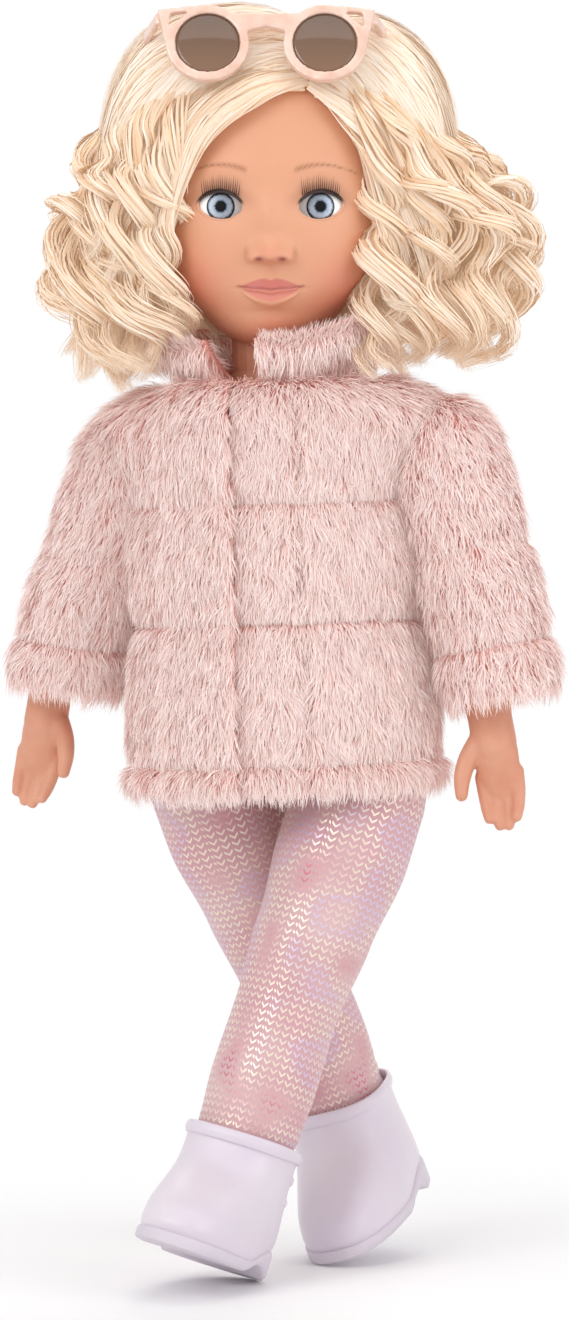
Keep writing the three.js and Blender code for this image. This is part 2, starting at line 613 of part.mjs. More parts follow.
// A rounded foot outline: a square toe in front and a round heel behind.
// The lowest outline follows the footbed and the rim is level.
function bootRing([height, toe, heel, halfWidth]) {
  const sides = 16;
  return Array.from({ length: sides }, (_, k) => {
    const angle = (2 * Math.PI * k) / sides;
    const [s, c] = [Math.sin(angle), Math.cos(angle)];
    const reach = c > 0 ? toe : heel;
    const power = c > 0 ? 0.62 : 0.85;
    const x = halfWidth * Math.sign(s) * Math.abs(s) ** power;
    const y = -reach * Math.sign(c) * Math.abs(c) ** power;
    const level = (BOOT_HEIGHT - height) / (BOOT_HEIGHT - SOLE_THICKNESS);
    return vec(x, y, height - LEG_LENGTH + (footbed(y) - SOLE_THICKNESS) * level);
  });
}

// Sole and block heel in one, hollowed under the arch of the foot.
function soleShape() {
  const [, toe, heel, width] = bootSections(0)[0];
  const edge = [toe + SOLE_LIP, heel + SOLE_LIP, width + SOLE_LIP];
  const top = bootRing([SOLE_THICKNESS, ...edge]);
  for (const point of top) point.z -= TURN_GAP;
  const bottom = top.map((point) => vec(point.x, point.y, -LEG_LENGTH));
  const archCentre = vec(0, (HEEL_FRONT - BALL_REACH) / 2, -LEG_LENGTH - ARCH_RADIUS + ARCH_HEIGHT);
  const arch = rod(ARCH_RADIUS, archCentre.clone().setX(-FAR), archCentre.clone().setX(FAR), 28);
  return cut(loft([bottom, top]), arch);
}

function buildLeg(name, side) {
  const centre = doll.worldToLocal(pelvis.localToWorld(vec(side * HIP_OFFSET, 0, 0)));
  const { lean, swing, twist } = LEG_POSES[name];
  const leg = addGroup(doll, centre, [swing, lean, twist]);
  const inward = vec(-side, 0, 0).transformDirection(pelvis.matrixWorld);
  inward.transformDirection(leg.matrixWorld.clone().invert());
  const stemSeat = rod(HIP_DISC.stem + SEAT_GAP, vec(0, 0, 0), inward.multiplyScalar(FAR));

  const footTop = -ANKLE_DROP - 4;
  const footSections = bootSections(BOOT_WALL + 2 * SEAT_GAP).slice(0, 4);
  footSections[0][0] += INSOLE_THICKNESS;
  const foot = loft(footSections.map((section) => bootRing(section)));
  const shin = loft(ellipseRings([...legStations(0, true), [footTop, ANKLE_RADIUS]], 14));
  addMesh(leg, `${name}_leg`, cut(join(shin, foot), stemSeat), 'skin');

  const disc = limbDisc(side, HIP_DISC, HIP_POCKET, HIP_OFFSET, 0);
  addMesh(pelvis, `${name}_hip_disc`, disc, 'joint');

  const outer = loft(ellipseRings(legStations(LEGGING_THICKNESS, false), 14));
  const hollow = loft(ellipseRings([...legStations(SEAT_GAP, false), [-LEGGING_DROP - 2, ANKLE_RADIUS + 3]], 14));
  addMesh(leg, `${name}_legging`, cut(outer, hollow, stemSeat), 'legging');

  const sections = bootSections(0);
  const lining = bootSections(BOOT_WALL);
  const columns = (list) => {
    const rings = list.map((section) => bootRing(section));
    return rings[0].map((_, k) => rings.map((ring) => ring[k]));
  };
  const studs = STUD_HEIGHTS.map((height) => {
    const reach = vec(side * Math.sin(rad(STUD_ANGLE)), -Math.cos(rad(STUD_ANGLE)), 0);
    reach.multiplyScalar(ANKLE_RADIUS + BOOT_EASE + STUD_RADIUS / 2);
    return ball(STUD_RADIUS, reach.setZ(height - LEG_LENGTH), 10, 8);
  });
  const upper = slab(columns(sections), columns(lining), true);
  addMesh(leg, `${name}_boot_upper`, join(upper, ...studs), 'boot');
  addMesh(leg, `${name}_boot_sole`, soleShape(), 'sole');
}

for (const [name, side] of Object.entries(SIDES)) buildLeg(name, side);

// Head: a hollow vinyl shell, star shaped about its centre, with the face raised on it

// Forms of the face, in the front view from the head centre: place, spread and height.
const FACE_FORMS = [
  { x: 0, z: -24, wide: 4.6, tall: 4.2, height: 6 }, // nose tip
  { x: 5, z: -26, wide: 3, tall: 2.6, height: 1.5 }, // nostrils
  { x: 0, z: -14, wide: 4, tall: 8, height: 2.2 }, // bridge of the nose
  { x: 0, z: -47, wide: 13, tall: 8, height: 4 }, // chin
  { x: 24, z: -30, wide: 12, tall: 10, height: 3.2 }, // cheeks
  { x: 0, z: -36.5, wide: 9, tall: 4, height: 3 }, // lips
  { x: EYE_SPACING / 2, z: -EYE_DROP, wide: 9, tall: 6, height: -1.6 }, // eye hollows
  { x: 12, z: 6, wide: 14, tall: 6, height: 1.5 }, // brow
];

function headRadius(direction, grow = 0, relief = 1) {
  const depth = direction.y < 0 ? FACE_DEPTH : SKULL_DEPTH;
  const height = direction.z > 0 ? CROWN_HEIGHT : JAW_HEIGHT;
  const jaw = THREE.MathUtils.smoothstep(-direction.z, 0.1, 1);
  const width = HEAD_HALF_WIDTH * (1 - JAW_TAPER * jaw);
  const shares = [direction.x / width, direction.y / depth, direction.z / height];
  const round = shares.reduce((sum, share) => sum + Math.abs(share) ** FULLNESS, 0) ** (-1 / FULLNESS);
  const [x, z] = [direction.x * round, direction.z * round];
  const front = THREE.MathUtils.smoothstep(-direction.y, 0, 0.5);
  const raised = FACE_FORMS.reduce((sum, form) => {
    const off = ((Math.abs(x) - form.x) / form.wide) ** 2 + ((z - form.z) / form.tall) ** 2;
    return sum + form.height * Math.exp(-off);
  }, 0);
  return round + grow + relief * front * raised;
}

// The surface at a radius given by a function of direction. Columns crowd towards the face.
function starShape(radiusAt, columns, rows, crowd) {
  const rings = Array.from({ length: rows }, (_, i) => {
    const polar = (Math.PI * (i + 0.5)) / rows;
    return Array.from({ length: columns }, (__, k) => {
      const turn = (2 * Math.PI * k) / columns;
      const angle = turn - crowd * Math.sin(turn);
      const flat = Math.sin(polar);
      const direction = vec(flat * Math.sin(angle), -flat * Math.cos(angle), -Math.cos(polar));
      return direction.clone().multiplyScalar(radiusAt(direction)).add(headCentre);
    });
  });
  return loft(rings);
}

const headCentre = vec(0, -HEAD_FORWARD, HEAD_RISE);
const headShape = (grow, relief, columns, rows) =>
  starShape((direction) => headRadius(direction, grow, relief), columns, rows, 0.55);

// How far in front of the head centre the face lies, at a place in the front view.
function faceDepth(x, z) {
  let [near, far] = [0, 2 * FACE_DEPTH];
  for (let step = 0; step < 40; step += 1) {
    const middle = (near + far) / 2;
    const point = vec(x, -middle, z);
    const inside = point.length() < headRadius(point.clone().normalize());
    [near, far] = inside ? [middle, far] : [near, middle];
  }
  return near;
}

const eyeDepth = faceDepth(EYE_SPACING / 2, -EYE_DROP) - EYE_INSET - EYEBALL_RADIUS;
const eyeCentre = (side) => headCentre.clone().add(vec((side * EYE_SPACING) / 2, -eyeDepth, -EYE_DROP));

function eyeOpening(side) {
  const outline = new THREE.Shape();
  outline.absellipse(0, 0, EYE_OPENING_WIDTH / 2, EYE_OPENING_HEIGHT / 2, 0, 2 * Math.PI);
  const depth = 2 * EYEBALL_RADIUS;
  const prism = new THREE.ExtrudeGeometry(outline, { depth, bevelEnabled: false, curveSegments: 12 });
  return prism.rotateX(Math.PI / 2).translate(...eyeCentre(side).toArray());
}

const neckFloor = FLANGE_RISE - TURN_GAP;
const cavity = headShape(-HEAD_WALL, 0, 14, 9);
const aboveFloor = box(vec(-FAR, -FAR, neckFloor), vec(FAR, FAR, FAR));
const headShell = cut(
  headShape(0, 1, 30, 22),
  common(cavity, aboveFloor),
  rod(NECK_RADIUS + 2 * TURN_GAP, vec(0, 0, -FAR), vec(0, 0, HEAD_RISE), 24),
  rod(FLANGE_RADIUS + TURN_GAP, vec(0, 0, neckFloor), vec(0, 0, HEAD_RISE), 24),
  ...Object.values(SIDES).flatMap((side) => [
    ball(EYEBALL_RADIUS + TURN_GAP, eyeCentre(side)), eyeOpening(side),
  ]),
);
addMesh(head, 'head_shell', headShell, 'skin');

// Sleep eyes: eyeball, iris, lashes and the weight that closes them, in a socket ring

function buildEye(name, side) {
  const eye = addGroup(head, eyeCentre(side));
  const globe = ball(EYEBALL_RADIUS, vec(0, 0, 0));
  const irisBack = vec(0, -EYEBALL_RADIUS + IRIS_DEPTH, 0);
  const front = vec(0, -FAR, 0);
  const seat = rod(IRIS_RADIUS + SEAT_GAP, irisBack.clone().add(vec(0, SEAT_GAP, 0)), front);
  const lashCentre = rad(LASH_ANGLE);
  const lashTurn = (geometry) => geometry.rotateX(-lashCentre);
  const lashColumns = (radius, lift) => Array.from({ length: 9 }, (_, k) => {
    const angle = rad(-LASH_SPAN / 2 + (LASH_SPAN * k) / 8);
    const ring = [EYEBALL_RADIUS + SEAT_GAP, EYEBALL_RADIUS + radius];
    return ring.map((reach) => vec(reach * Math.sin(angle), -reach * Math.cos(angle), lift));
  });
  const lashes = lashTurn(slab(lashColumns(LASH_REACH, LASH_THICKNESS), lashColumns(LASH_REACH, 0)));
  addMesh(eye, `${name}_eyeball`, cut(globe, seat), 'eyeWhite');
  addMesh(eye, `${name}_iris`, common(globe, rod(IRIS_RADIUS, irisBack, front)), 'iris');
  addMesh(eye, `${name}_eyelashes`, lashes, 'lash');

  const bar = rod(WEIGHT_RADIUS / 2, vec(0, EYEBALL_RADIUS - 1, 0), vec(0, WEIGHT_REACH, -WEIGHT_DROP));
  const lead = rod(WEIGHT_RADIUS, vec(0, WEIGHT_REACH, -WEIGHT_DROP - 4), vec(0, WEIGHT_REACH, -WEIGHT_DROP + 4));
  const weight = cut(join(bar, lead), ball(EYEBALL_RADIUS + SEAT_GAP, vec(0, 0, 0)));
  addMesh(eye, `${name}_eye_weight`, weight, 'weight');

  // The ring turns round the front and back axis and lies against the inside of the face.
  const inner = EYEBALL_RADIUS + TURN_GAP;
  const profile = [[inner, -SOCKET_LENGTH], [inner + SOCKET_WALL, -SOCKET_LENGTH], [inner + SOCKET_WALL, 1], [inner, 1]];
  profile.push(profile[0]);
  const ring = new THREE.LatheGeometry(profile.map(([r, y]) => new THREE.Vector2(r, y)), 20);
  ring.translate(...eyeCentre(side).toArray());
  const socket = common(ring, headShape(-HEAD_WALL - SEAT_GAP, 0, 14, 9));
  addMesh(head, `${name}_eye_socket`, socket, 'joint');
}

for (const [name, side] of Object.entries(SIDES)) buildEye(name, side);

// Sunglasses pushed up on the hair: one moulded front with its temples, and two lenses

const glassesPlace = headCentre.clone().add(vec(GLASSES_SHIFT, -GLASSES_FORWARD, GLASSES_RISE));
const glasses = addGroup(head, glassesPlace, [-GLASSES_PITCH, 0, 0]);
const RIM_RADIUS = LENS_RADIUS + RIM_WIDTH;

// Flat piece of the front, drawn in the front view with the lens centre of one side as its origin.
function frontPiece(points, side) {
  const shape = new THREE.Shape(points.map(([x, z]) => new THREE.Vector2(side * x, z)));
  const piece = new THREE.ExtrudeGeometry(shape, { depth: FRAME_THICKNESS, bevelEnabled: false });
  return piece.rotateX(Math.PI / 2).translate((side * LENS_SPACING) / 2, 0, 0);
}

const WING = [[-4, RIM_RADIUS - 1], [6, RIM_RADIUS - 0.4], [TIP_OUT, TIP_UP], [RIM_RADIUS - 0.3, -3], [0, 0]];
const WING_OPENING = [[6.5, 12.2], [TIP_OUT - 4.4, TIP_UP - 1.2], [RIM_RADIUS - 1, 5.6]];
const BRIDGE = [[0, 4], [0, 11.6], [-LENS_SPACING / 2 - 0.5, 11.2], [-LENS_SPACING / 2 - 0.5, 6.6], [-9, 3]];

function templeRings(side, grow, rise) {
  const root = LENS_SPACING / 2 + TIP_OUT - 1.6;
  return evenly(0, 1, 6).map((share) => {
    const bow = TEMPLE_BOW * Math.sin(Math.PI * Math.min(1, 0.8 * share + 0.05));
    const x = side * (root + bow);
    const y = TEMPLE_LENGTH * share - FRAME_THICKNESS / 2;
    const z = TIP_UP - TEMPLE_HEIGHT / 2 - 1 - TEMPLE_DROP * share ** 2;
    const [half, low, high] = [TEMPLE_THICKNESS / 2 + grow, -TEMPLE_HEIGHT / 2 - grow, TEMPLE_HEIGHT / 2 + rise];
    return [[-half, low], [half, low], [half, high], [-half, high]].map(([dx, dz]) => vec(x + dx, y, z + dz));
  });
}

const lensHoles = Object.values(SIDES).map((side) => {
  const x = (side * LENS_SPACING) / 2;
  return rod(LENS_RADIUS, vec(x, -FAR, 0), vec(x, FAR, 0), 24);
});
const frontSides = Object.values(SIDES).flatMap((side) => {
  const x = (side * LENS_SPACING) / 2;
  const rim = rod(RIM_RADIUS, vec(x, -FRAME_THICKNESS, 0), vec(x, 0, 0), 28);
  return [rim, frontPiece(WING, side), frontPiece(BRIDGE, side), loft(templeRings(side, 0, 0))];
});
const wingOpenings = Object.values(SIDES).map((side) =>
  frontPiece(WING_OPENING, side).scale(1, 3, 1).translate(0, FRAME_THICKNESS, 0));
addMesh(glasses, 'sunglasses_frame', cut(join(...frontSides), ...lensHoles, ...wingOpenings), 'frame');
for (const [name, side] of Object.entries(SIDES)) {
  const x = (side * LENS_SPACING) / 2;
  const back = -(FRAME_THICKNESS - LENS_THICKNESS) / 2;
  const lens = rod(LENS_RADIUS - SEAT_GAP, vec(x, back - LENS_THICKNESS, 0), vec(x, back, 0), 24);
  addMesh(glasses, `${name}_lens`, lens, 'lens');
}

// Hair: a cap of rooted hair over the skull, with curls at the sides and locks at the back

// Curls from the head centre: [x, y, z, radius]
const RIGHT_CURLS = [
  [-49, -2, 17, 16], [-58, 0, 0, 17], [-63, -4, -22, 19], [-66, -6, -42, 17], [-57, -14, -52, 17], [-46, -20, -36, 13],
];
const LEFT_CURLS = [
  [54, 0, 20, 17], [70, 0, 6, 16], [80, -2, -9, 16], [79, -5, -29, 17], [77, -8, -47, 17], [64, -14, -52, 17],
  [54, -18, -30, 16],
];
// The full mass of hair on each side: [x, y, z] of its middle and its half sizes.
const SIDE_MASSES = [[-48, 4, -20, 32, 30, 42], [57, 4, -20, 34, 30, 42]];
const sideMasses = SIDE_MASSES.map(([x, y, z, ...half]) =>
  new THREE.SphereGeometry(1, 10, 8).rotateX(Math.PI / 2).scale(...half)
    .translate(...headCentre.clone().add(vec(x, y, z)).toArray()));
const curl = ([x, y, z, radius]) => ball(radius, headCentre.clone().add(vec(x, y, z)), 6, 5);

const backLocks = evenly(-BACK_SPREAD, BACK_SPREAD, 4).map((angle) => {
  const reach = SKULL_DEPTH + HAIR_DEPTH * 0.4;
  const place = vec(reach * Math.sin(rad(angle)), reach * Math.cos(rad(angle)), -JAW_HEIGHT * 0.7);
  return new THREE.SphereGeometry(LOCK_RADIUS, 7, 5).rotateX(Math.PI / 2).scale(1, 0.8, LOCK_STRETCH)
    .translate(...headCentre.clone().add(place).toArray());
});

// The hair parts beside the brow and sweeps down round both sides of the face.
const faceOutline = new THREE.Shape();
faceOutline.moveTo(-27, -JAW_HEIGHT - HAIR_DEPTH);
faceOutline.lineTo(-29, -36);
faceOutline.quadraticCurveTo(-38, -18, -33, -6);
faceOutline.quadraticCurveTo(-20, 22, PARTING_SIDE, HAIRLINE);
faceOutline.quadraticCurveTo(32, 26, 35, 4);
faceOutline.lineTo(33, -36);
faceOutline.lineTo(29, -JAW_HEIGHT - HAIR_DEPTH);
const faceWindow = new THREE.ExtrudeGeometry(faceOutline, { depth: FAR, bevelEnabled: false, curveSegments: 6 })
  .rotateX(Math.PI / 2).translate(headCentre.x, headCentre.y - FACE_DEPTH * 0.12, headCentre.z);

// Space that the hair leaves round the neck so that the head can turn over collar and shoulders.
const turnRoom = new THREE.LatheGeometry([
  [0, -FAR], [FAR, -FAR], [FAR, TURN_CLEAR_SHOULDER], [TURN_CLEAR_RADIUS, TURN_CLEAR_SHOULDER],
  [TURN_CLEAR_RADIUS, TURN_CLEAR_COLLAR], [0, TURN_CLEAR_COLLAR],
].map(([r, z]) => new THREE.Vector2(r, z)), 24).rotateX(Math.PI / 2);

// Space for the sunglasses on their way up from the hair.
const glassesRoom = [
  box(vec(-FAR, -FAR, -RIM_RADIUS - 1), vec(FAR, SEAT_GAP, FAR)),
  ...Object.values(SIDES).map((side) => loft(templeRings(side, SEAT_GAP, FAR))),
].map((room) => room.applyMatrix4(glasses.matrix));

const hairCap = starShape((direction) => headRadius(direction, HAIR_DEPTH, 0), 16, 10, 0);
const scalp = starShape((direction) => headRadius(direction, HAIR_ROOT_GAP), 16, 11, 0);
const hairAll = cut(
  join(hairCap, ...sideMasses, ...LEFT_CURLS.map(curl), ...RIGHT_CURLS.map(curl), ...backLocks),
  scalp, faceWindow, turnRoom, ...glassesRoom,
);

const sideAt = HEAD_HALF_WIDTH - 3;
const backAt = SKULL_DEPTH * 0.4;
const hairRegions = {
  hair_crown: box(vec(-sideAt, -FAR, -FAR), vec(sideAt, backAt, FAR)),
  hair_back: box(vec(-sideAt, backAt + SEAT_GAP, -FAR), vec(sideAt, FAR, FAR)),
  hair_left: box(vec(sideAt + SEAT_GAP, -FAR, -FAR), vec(FAR, FAR, FAR)),
  hair_right: box(vec(-FAR, -FAR, -FAR), vec(-sideAt - SEAT_GAP, FAR, FAR)),
};
for (const [name, region] of Object.entries(hairRegions)) addMesh(head, name, common(hairAll, region), 'hair');

// The part stands on the floor with the middle of its box over the origin.
const extent = new THREE.Box3().setFromObject(doll, true);
const middle = extent.getCenter(vec(0, 0, 0));
doll.position.set(-middle.x, -middle.y, -extent.min.z);

export default doll;
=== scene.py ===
# %% [markdown]
# A dressed play doll, step by step. The jointed model is loaded first as a fixed frame in metres.
# Each later cell dresses one piece of it: vinyl, hair, fur, cloth, boots and glasses.
# Shapes are worked out as whole numpy arrays, because a formula on a grid is quick to change and
# gives clean faces, and the arrays then go into Blender meshes in one call.

# %% Load the jointed model
import json
import bmesh
import bpy
import numpy as np
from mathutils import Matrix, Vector


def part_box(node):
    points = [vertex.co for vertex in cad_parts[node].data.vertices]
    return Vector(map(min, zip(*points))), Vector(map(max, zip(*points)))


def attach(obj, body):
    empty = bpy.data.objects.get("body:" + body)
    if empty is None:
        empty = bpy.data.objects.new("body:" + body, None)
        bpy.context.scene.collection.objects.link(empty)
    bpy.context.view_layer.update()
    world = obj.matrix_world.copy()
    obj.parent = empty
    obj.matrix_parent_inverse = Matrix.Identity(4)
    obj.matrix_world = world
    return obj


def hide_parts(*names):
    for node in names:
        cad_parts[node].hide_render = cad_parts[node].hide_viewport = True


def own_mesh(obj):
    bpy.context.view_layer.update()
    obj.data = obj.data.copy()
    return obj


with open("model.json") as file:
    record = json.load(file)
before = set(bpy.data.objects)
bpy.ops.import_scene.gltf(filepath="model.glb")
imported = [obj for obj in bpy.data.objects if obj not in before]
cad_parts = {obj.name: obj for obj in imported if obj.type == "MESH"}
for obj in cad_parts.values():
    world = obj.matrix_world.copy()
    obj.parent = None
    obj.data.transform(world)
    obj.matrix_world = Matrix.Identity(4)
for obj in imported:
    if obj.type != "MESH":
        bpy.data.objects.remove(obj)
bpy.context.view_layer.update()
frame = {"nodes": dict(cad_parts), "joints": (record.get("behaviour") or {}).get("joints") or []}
node_objects = frame["nodes"]
pivots = {joint["name"]: np.array(joint["pos_m"]) for joint in frame["joints"] if "pos_m" in joint}
SEED = 7
rng = np.random.default_rng(SEED)

# %% [markdown]
# The doll stands in a walking pose, so every limb has its own slanted axes. A piece is easiest to
# write upright, in millimetres from its own pivot, and then turned and moved into place. The turns
# below are those of the stance; the pivots come from the joints of the loaded model.

# %% Axes of the body and limbs
MM = 0.001
SIDES = {"left": 1, "right": -1}  # the doll's own left is at +x


def turn_matrix(x, y, z):
    """Rotation about z first, then x, then y, by angles in degrees."""
    (cx, cy, cz), (sx, sy, sz) = np.cos(np.radians([x, y, z])), np.sin(np.radians([x, y, z]))
    about_x = np.array([[1, 0, 0], [0, cx, -sx], [0, sx, cx]])
    about_y = np.array([[cy, 0, sy], [0, 1, 0], [-sy, 0, cy]])
    about_z = np.array([[cz, -sz, 0], [sz, cz, 0], [0, 0, 1]])
    return about_y @ about_x @ about_z


hips = (pivots["left_hip"] + pivots["right_hip"]) / 2
torso_turn = turn_matrix(0, -2, -18)
PLACES = {
    "torso": (hips, torso_turn),
    "head": (pivots["head_turn"], np.eye(3)),
    "left_arm": (pivots["left_shoulder"], torso_turn @ turn_matrix(0, -9, 0)),
    "right_arm": (pivots["right_shoulder"], torso_turn @ turn_matrix(0, 10.5, 0)),
    "left_leg": (pivots["left_hip"], turn_matrix(-10.5, 17.8, -19)),
    "right_leg": (pivots["right_hip"], turn_matrix(10.5, -20, -22)),
}


def put(points, place):
    """Points in millimetres on a body's own axes become points of the frame in metres."""
    origin, turn = PLACES[place]
    return np.asarray(points) * MM @ turn.T + origin


def take(points, place):
    """Points of the frame in metres become millimetres on a body's own axes."""
    origin, turn = PLACES[place]
    return (np.asarray(points) - origin) @ turn / MM


print("hips at", hips.round(4))

# %% [markdown]
# Every new piece ends as a mesh of quads or triangles. One helper puts arrays of points and faces
# into a mesh; a second turns a grid of points into faces, closed round the columns if it is a tube.
# Two short ones give vectors of length one and equal angles once round, which most shapes need.

# %% Grids and meshes
TINY = 1e-6  # keeps a vector of no length from being divided by nothing


def unit(vectors):
    """Vectors of length one along the last axis."""
    return vectors / np.maximum(np.linalg.norm(vectors, axis=-1, keepdims=True), TINY)


def full_turn(count):
    """Equal angles once round, in radians, the last one a step short of the first."""
    return 2 * np.pi * np.arange(count) / count


def grid_faces(rows, columns, around):
    """Quads of a grid, points along the columns first; around joins the last column to the first."""
    i = np.arange(rows - 1)[:, None]
    j = np.arange(columns if around else columns - 1)[None, :]
    k = (j + 1) % columns
    corners = [i * columns + j, i * columns + k, (i + 1) * columns + k, (i + 1) * columns + j]
    return np.stack([c + 0 * i for c in corners], axis=-1).reshape(-1, 4)


def many_grids(count, rows, columns, around):
    """Quads of several equal grids whose points follow each other."""
    first = grid_faces(rows, columns, around)
    return (first + (np.arange(count) * rows * columns)[:, None, None]).reshape(-1, 4)


def mesh_object(name, points, faces):
    """A new object at the origin from points in metres and an array of faces of one size."""
    mesh = bpy.data.meshes.new(name)
    points = np.ascontiguousarray(points, dtype=np.float32)
    faces = np.ascontiguousarray(faces, dtype=np.int32)
    count, sides = faces.shape
    mesh.vertices.add(len(points))
    mesh.vertices.foreach_set("co", points.ravel())
    mesh.loops.add(count * sides)
    mesh.loops.foreach_set("vertex_index", faces.ravel())
    mesh.polygons.add(count)
    mesh.polygons.foreach_set("loop_start", np.arange(0, count * sides, sides, dtype=np.int32))
    mesh.polygons.foreach_set("loop_total", np.full(count, sides, dtype=np.int32))
    mesh.polygons.foreach_set("use_smooth", np.ones(count, dtype=bool))
    mesh.update(calc_edges=True)
    mesh.validate()
    piece = bpy.data.objects.new(name, mesh)
    bpy.context.scene.collection.objects.link(piece)
    return piece


def capped_tube(rings):
    """Points and quads of a tube through rings (rows, columns, 3), its ends closed to their middles."""
    rows, columns, _ = rings.shape
    start, finish = (np.repeat(ring.mean(axis=0)[None, None], columns, 1) for ring in rings[[0, -1]])
    full = np.concatenate([start, rings, finish])
    return full.reshape(-1, 3), grid_faces(rows + 2, columns, True)


def merged(piece, distance=1e-6):
    """Joins points that lie together, so that poles and seams are closed, and turns faces outwards."""
    work = bmesh.new()
    work.from_mesh(piece.data)
    bmesh.ops.remove_doubles(work, verts=work.verts, dist=distance)
    bmesh.ops.dissolve_degenerate(work, edges=work.edges, dist=distance)
    bmesh.ops.recalc_face_normals(work, faces=work.faces)
    work.to_mesh(piece.data)
    work.free()
    return piece


def wear(piece, body, material, replaced=()):
    """Gives a piece its material, the body it rides on and the solids it stands for."""
    piece.data.materials.clear()
    piece.data.materials.append(material)
    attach(piece, body)
    if replaced:
        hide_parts(*replaced)
    print(piece.name, len(piece.data.polygons), "faces on", body)
    return piece


# %% [markdown]
# Colours are written as a person reads them from a picture, 0 to 255, and turned to the linear
# values that shaders use. A material starts as one Principled shader with constant sockets, and
# the cells that need a pattern link only the sockets that vary. Short helpers make the nodes that
# come back in many materials: noise on a piece's own coordinates, relief, sums and UV sockets.

# %% Material helpers
GRAIN_DETAIL = 3.0


def linear(red, green, blue):
    """Linear RGBA of a colour given as 0 to 255 in sRGB."""
    share = np.array([red, green, blue]) / 255
    low = share / 12.92
    high = ((share + 0.055) / 1.055) ** 2.4
    return (*np.where(share <= 0.04045, low, high).tolist(), 1.0)


def principled(name, **sockets):
    """A material with one Principled shader whose named sockets are set directly."""
    material = bpy.data.materials.new(name)
    material.use_nodes = True
    shader = material.node_tree.nodes["Principled BSDF"]
    for key, value in sockets.items():
        shader.inputs[key.replace("_", " ")].default_value = value
    return material, material.node_tree, shader


def add_node(tree, kind, **settings):
    """A shader node with its properties, or its sockets where the key starts with in_, set."""
    node = tree.nodes.new(kind)
    for key, value in settings.items():
        if key.startswith("in_"):
            node.inputs[key[3:].replace("_", " ")].default_value = value
        else:
            setattr(node, key, value)
    return node


def ramp(tree, factor, stops):
    """A colour ramp through stops of position and colour, fed by a socket."""
    node = tree.nodes.new("ShaderNodeValToRGB")
    elements = node.color_ramp.elements
    for _ in stops[2:]:
        elements.new(0.5)
    for element, (position, colour) in zip(elements, stops):
        element.position = position
        element.color = colour
    tree.links.new(factor, node.inputs["Fac"])
    return node.outputs["Color"]


def set_colour(tree, shader, colour, *more):
    """Links a colour to the shader's Base Color and to any more sockets that are named."""
    for socket in ("Base Color", *more):
        tree.links.new(colour, shader.inputs[socket])


def maths(tree, operation, *values):
    """A Math node on sockets or numbers; returns its output."""
    node = add_node(tree, "ShaderNodeMath", operation=operation)
    for slot, value in zip(node.inputs, values):
        if isinstance(value, (int, float)):
            slot.default_value = value
        else:
            tree.links.new(value, slot)
    return node.outputs[0]


def uv_sockets(tree, uv_map="OFBake"):
    """The two sockets of a UV map, across and along."""
    spot = add_node(tree, "ShaderNodeUVMap", uv_map=uv_map)
    parts = add_node(tree, "ShaderNodeSeparateXYZ")
    tree.links.new(spot.outputs["UV"], parts.inputs[0])
    return parts.outputs["X"], parts.outputs["Y"]


def object_noise(tree, scale, detail):
    """Noise on the Object coordinates of a piece; returns the socket of its value."""
    place = add_node(tree, "ShaderNodeTexCoord")
    noise = add_node(tree, "ShaderNodeTexNoise", in_Scale=scale, in_Detail=detail)
    tree.links.new(place.outputs["Object"], noise.inputs["Vector"])
    return noise.outputs["Fac"]


def bump(tree, shader, height, strength, distance):
    """Feeds a height into the shader's normal as shallow relief."""
    node = add_node(tree, "ShaderNodeBump", in_Strength=strength, in_Distance=distance)
    tree.links.new(height, node.inputs["Height"])
    tree.links.new(node.outputs["Normal"], shader.inputs["Normal"])


def grain_bump(tree, shader, scale, strength, distance):
    """Fine surface grain: noise into the shader's normal."""
    bump(tree, shader, object_noise(tree, scale, GRAIN_DETAIL), strength, distance)


# %% [markdown]
# The photograph was taken from chest height, square on, from a little under two metres. The lens is
# long, so the doll is drawn almost flat. The camera tips down by about a degree to frame the boots.

# %% Camera
PHOTO_HEIGHT = 1320  # pixels
LEVEL_ROW = 570  # row of the picture at the camera's own height
PIXEL = 0.36 * MM  # size of a pixel at the middle of the doll
SENSOR_HEIGHT = 36  # millimetres
DISTANCE = 1.7  # metres
EYE_LEVEL = 0.0635  # metres, camera above the hips
TIP = (PHOTO_HEIGHT / 2 - LEVEL_ROW) * PIXEL / DISTANCE  # radians down from level

camera_data = bpy.data.cameras.new("camera")
camera_data.sensor_fit = "VERTICAL"
camera_data.sensor_height = SENSOR_HEIGHT
camera_data.lens = SENSOR_HEIGHT * DISTANCE / (PHOTO_HEIGHT * PIXEL)
camera = bpy.data.objects.new("camera", camera_data)
camera.location = hips + np.array([0, -DISTANCE, EYE_LEVEL])
camera.rotation_euler = (np.pi / 2 - TIP, 0, 0)
bpy.context.scene.collection.objects.link(camera)
bpy.context.scene.camera = camera
print("lens", round(camera_data.lens, 1))

# %% [markdown]
# The background is plain white. A broad floor takes the soft shadow near the boots and fades to
# white further out. The world lights the doll softly from all sides, while the camera and glossy
# or clear surfaces see it as plain white. Four large soft lamps add to it, the left one the
# strongest, because the photograph's shadows fall faintly to the right.

# %% Floor, world and lamps
bpy.context.scene.view_settings.view_transform = "Standard"

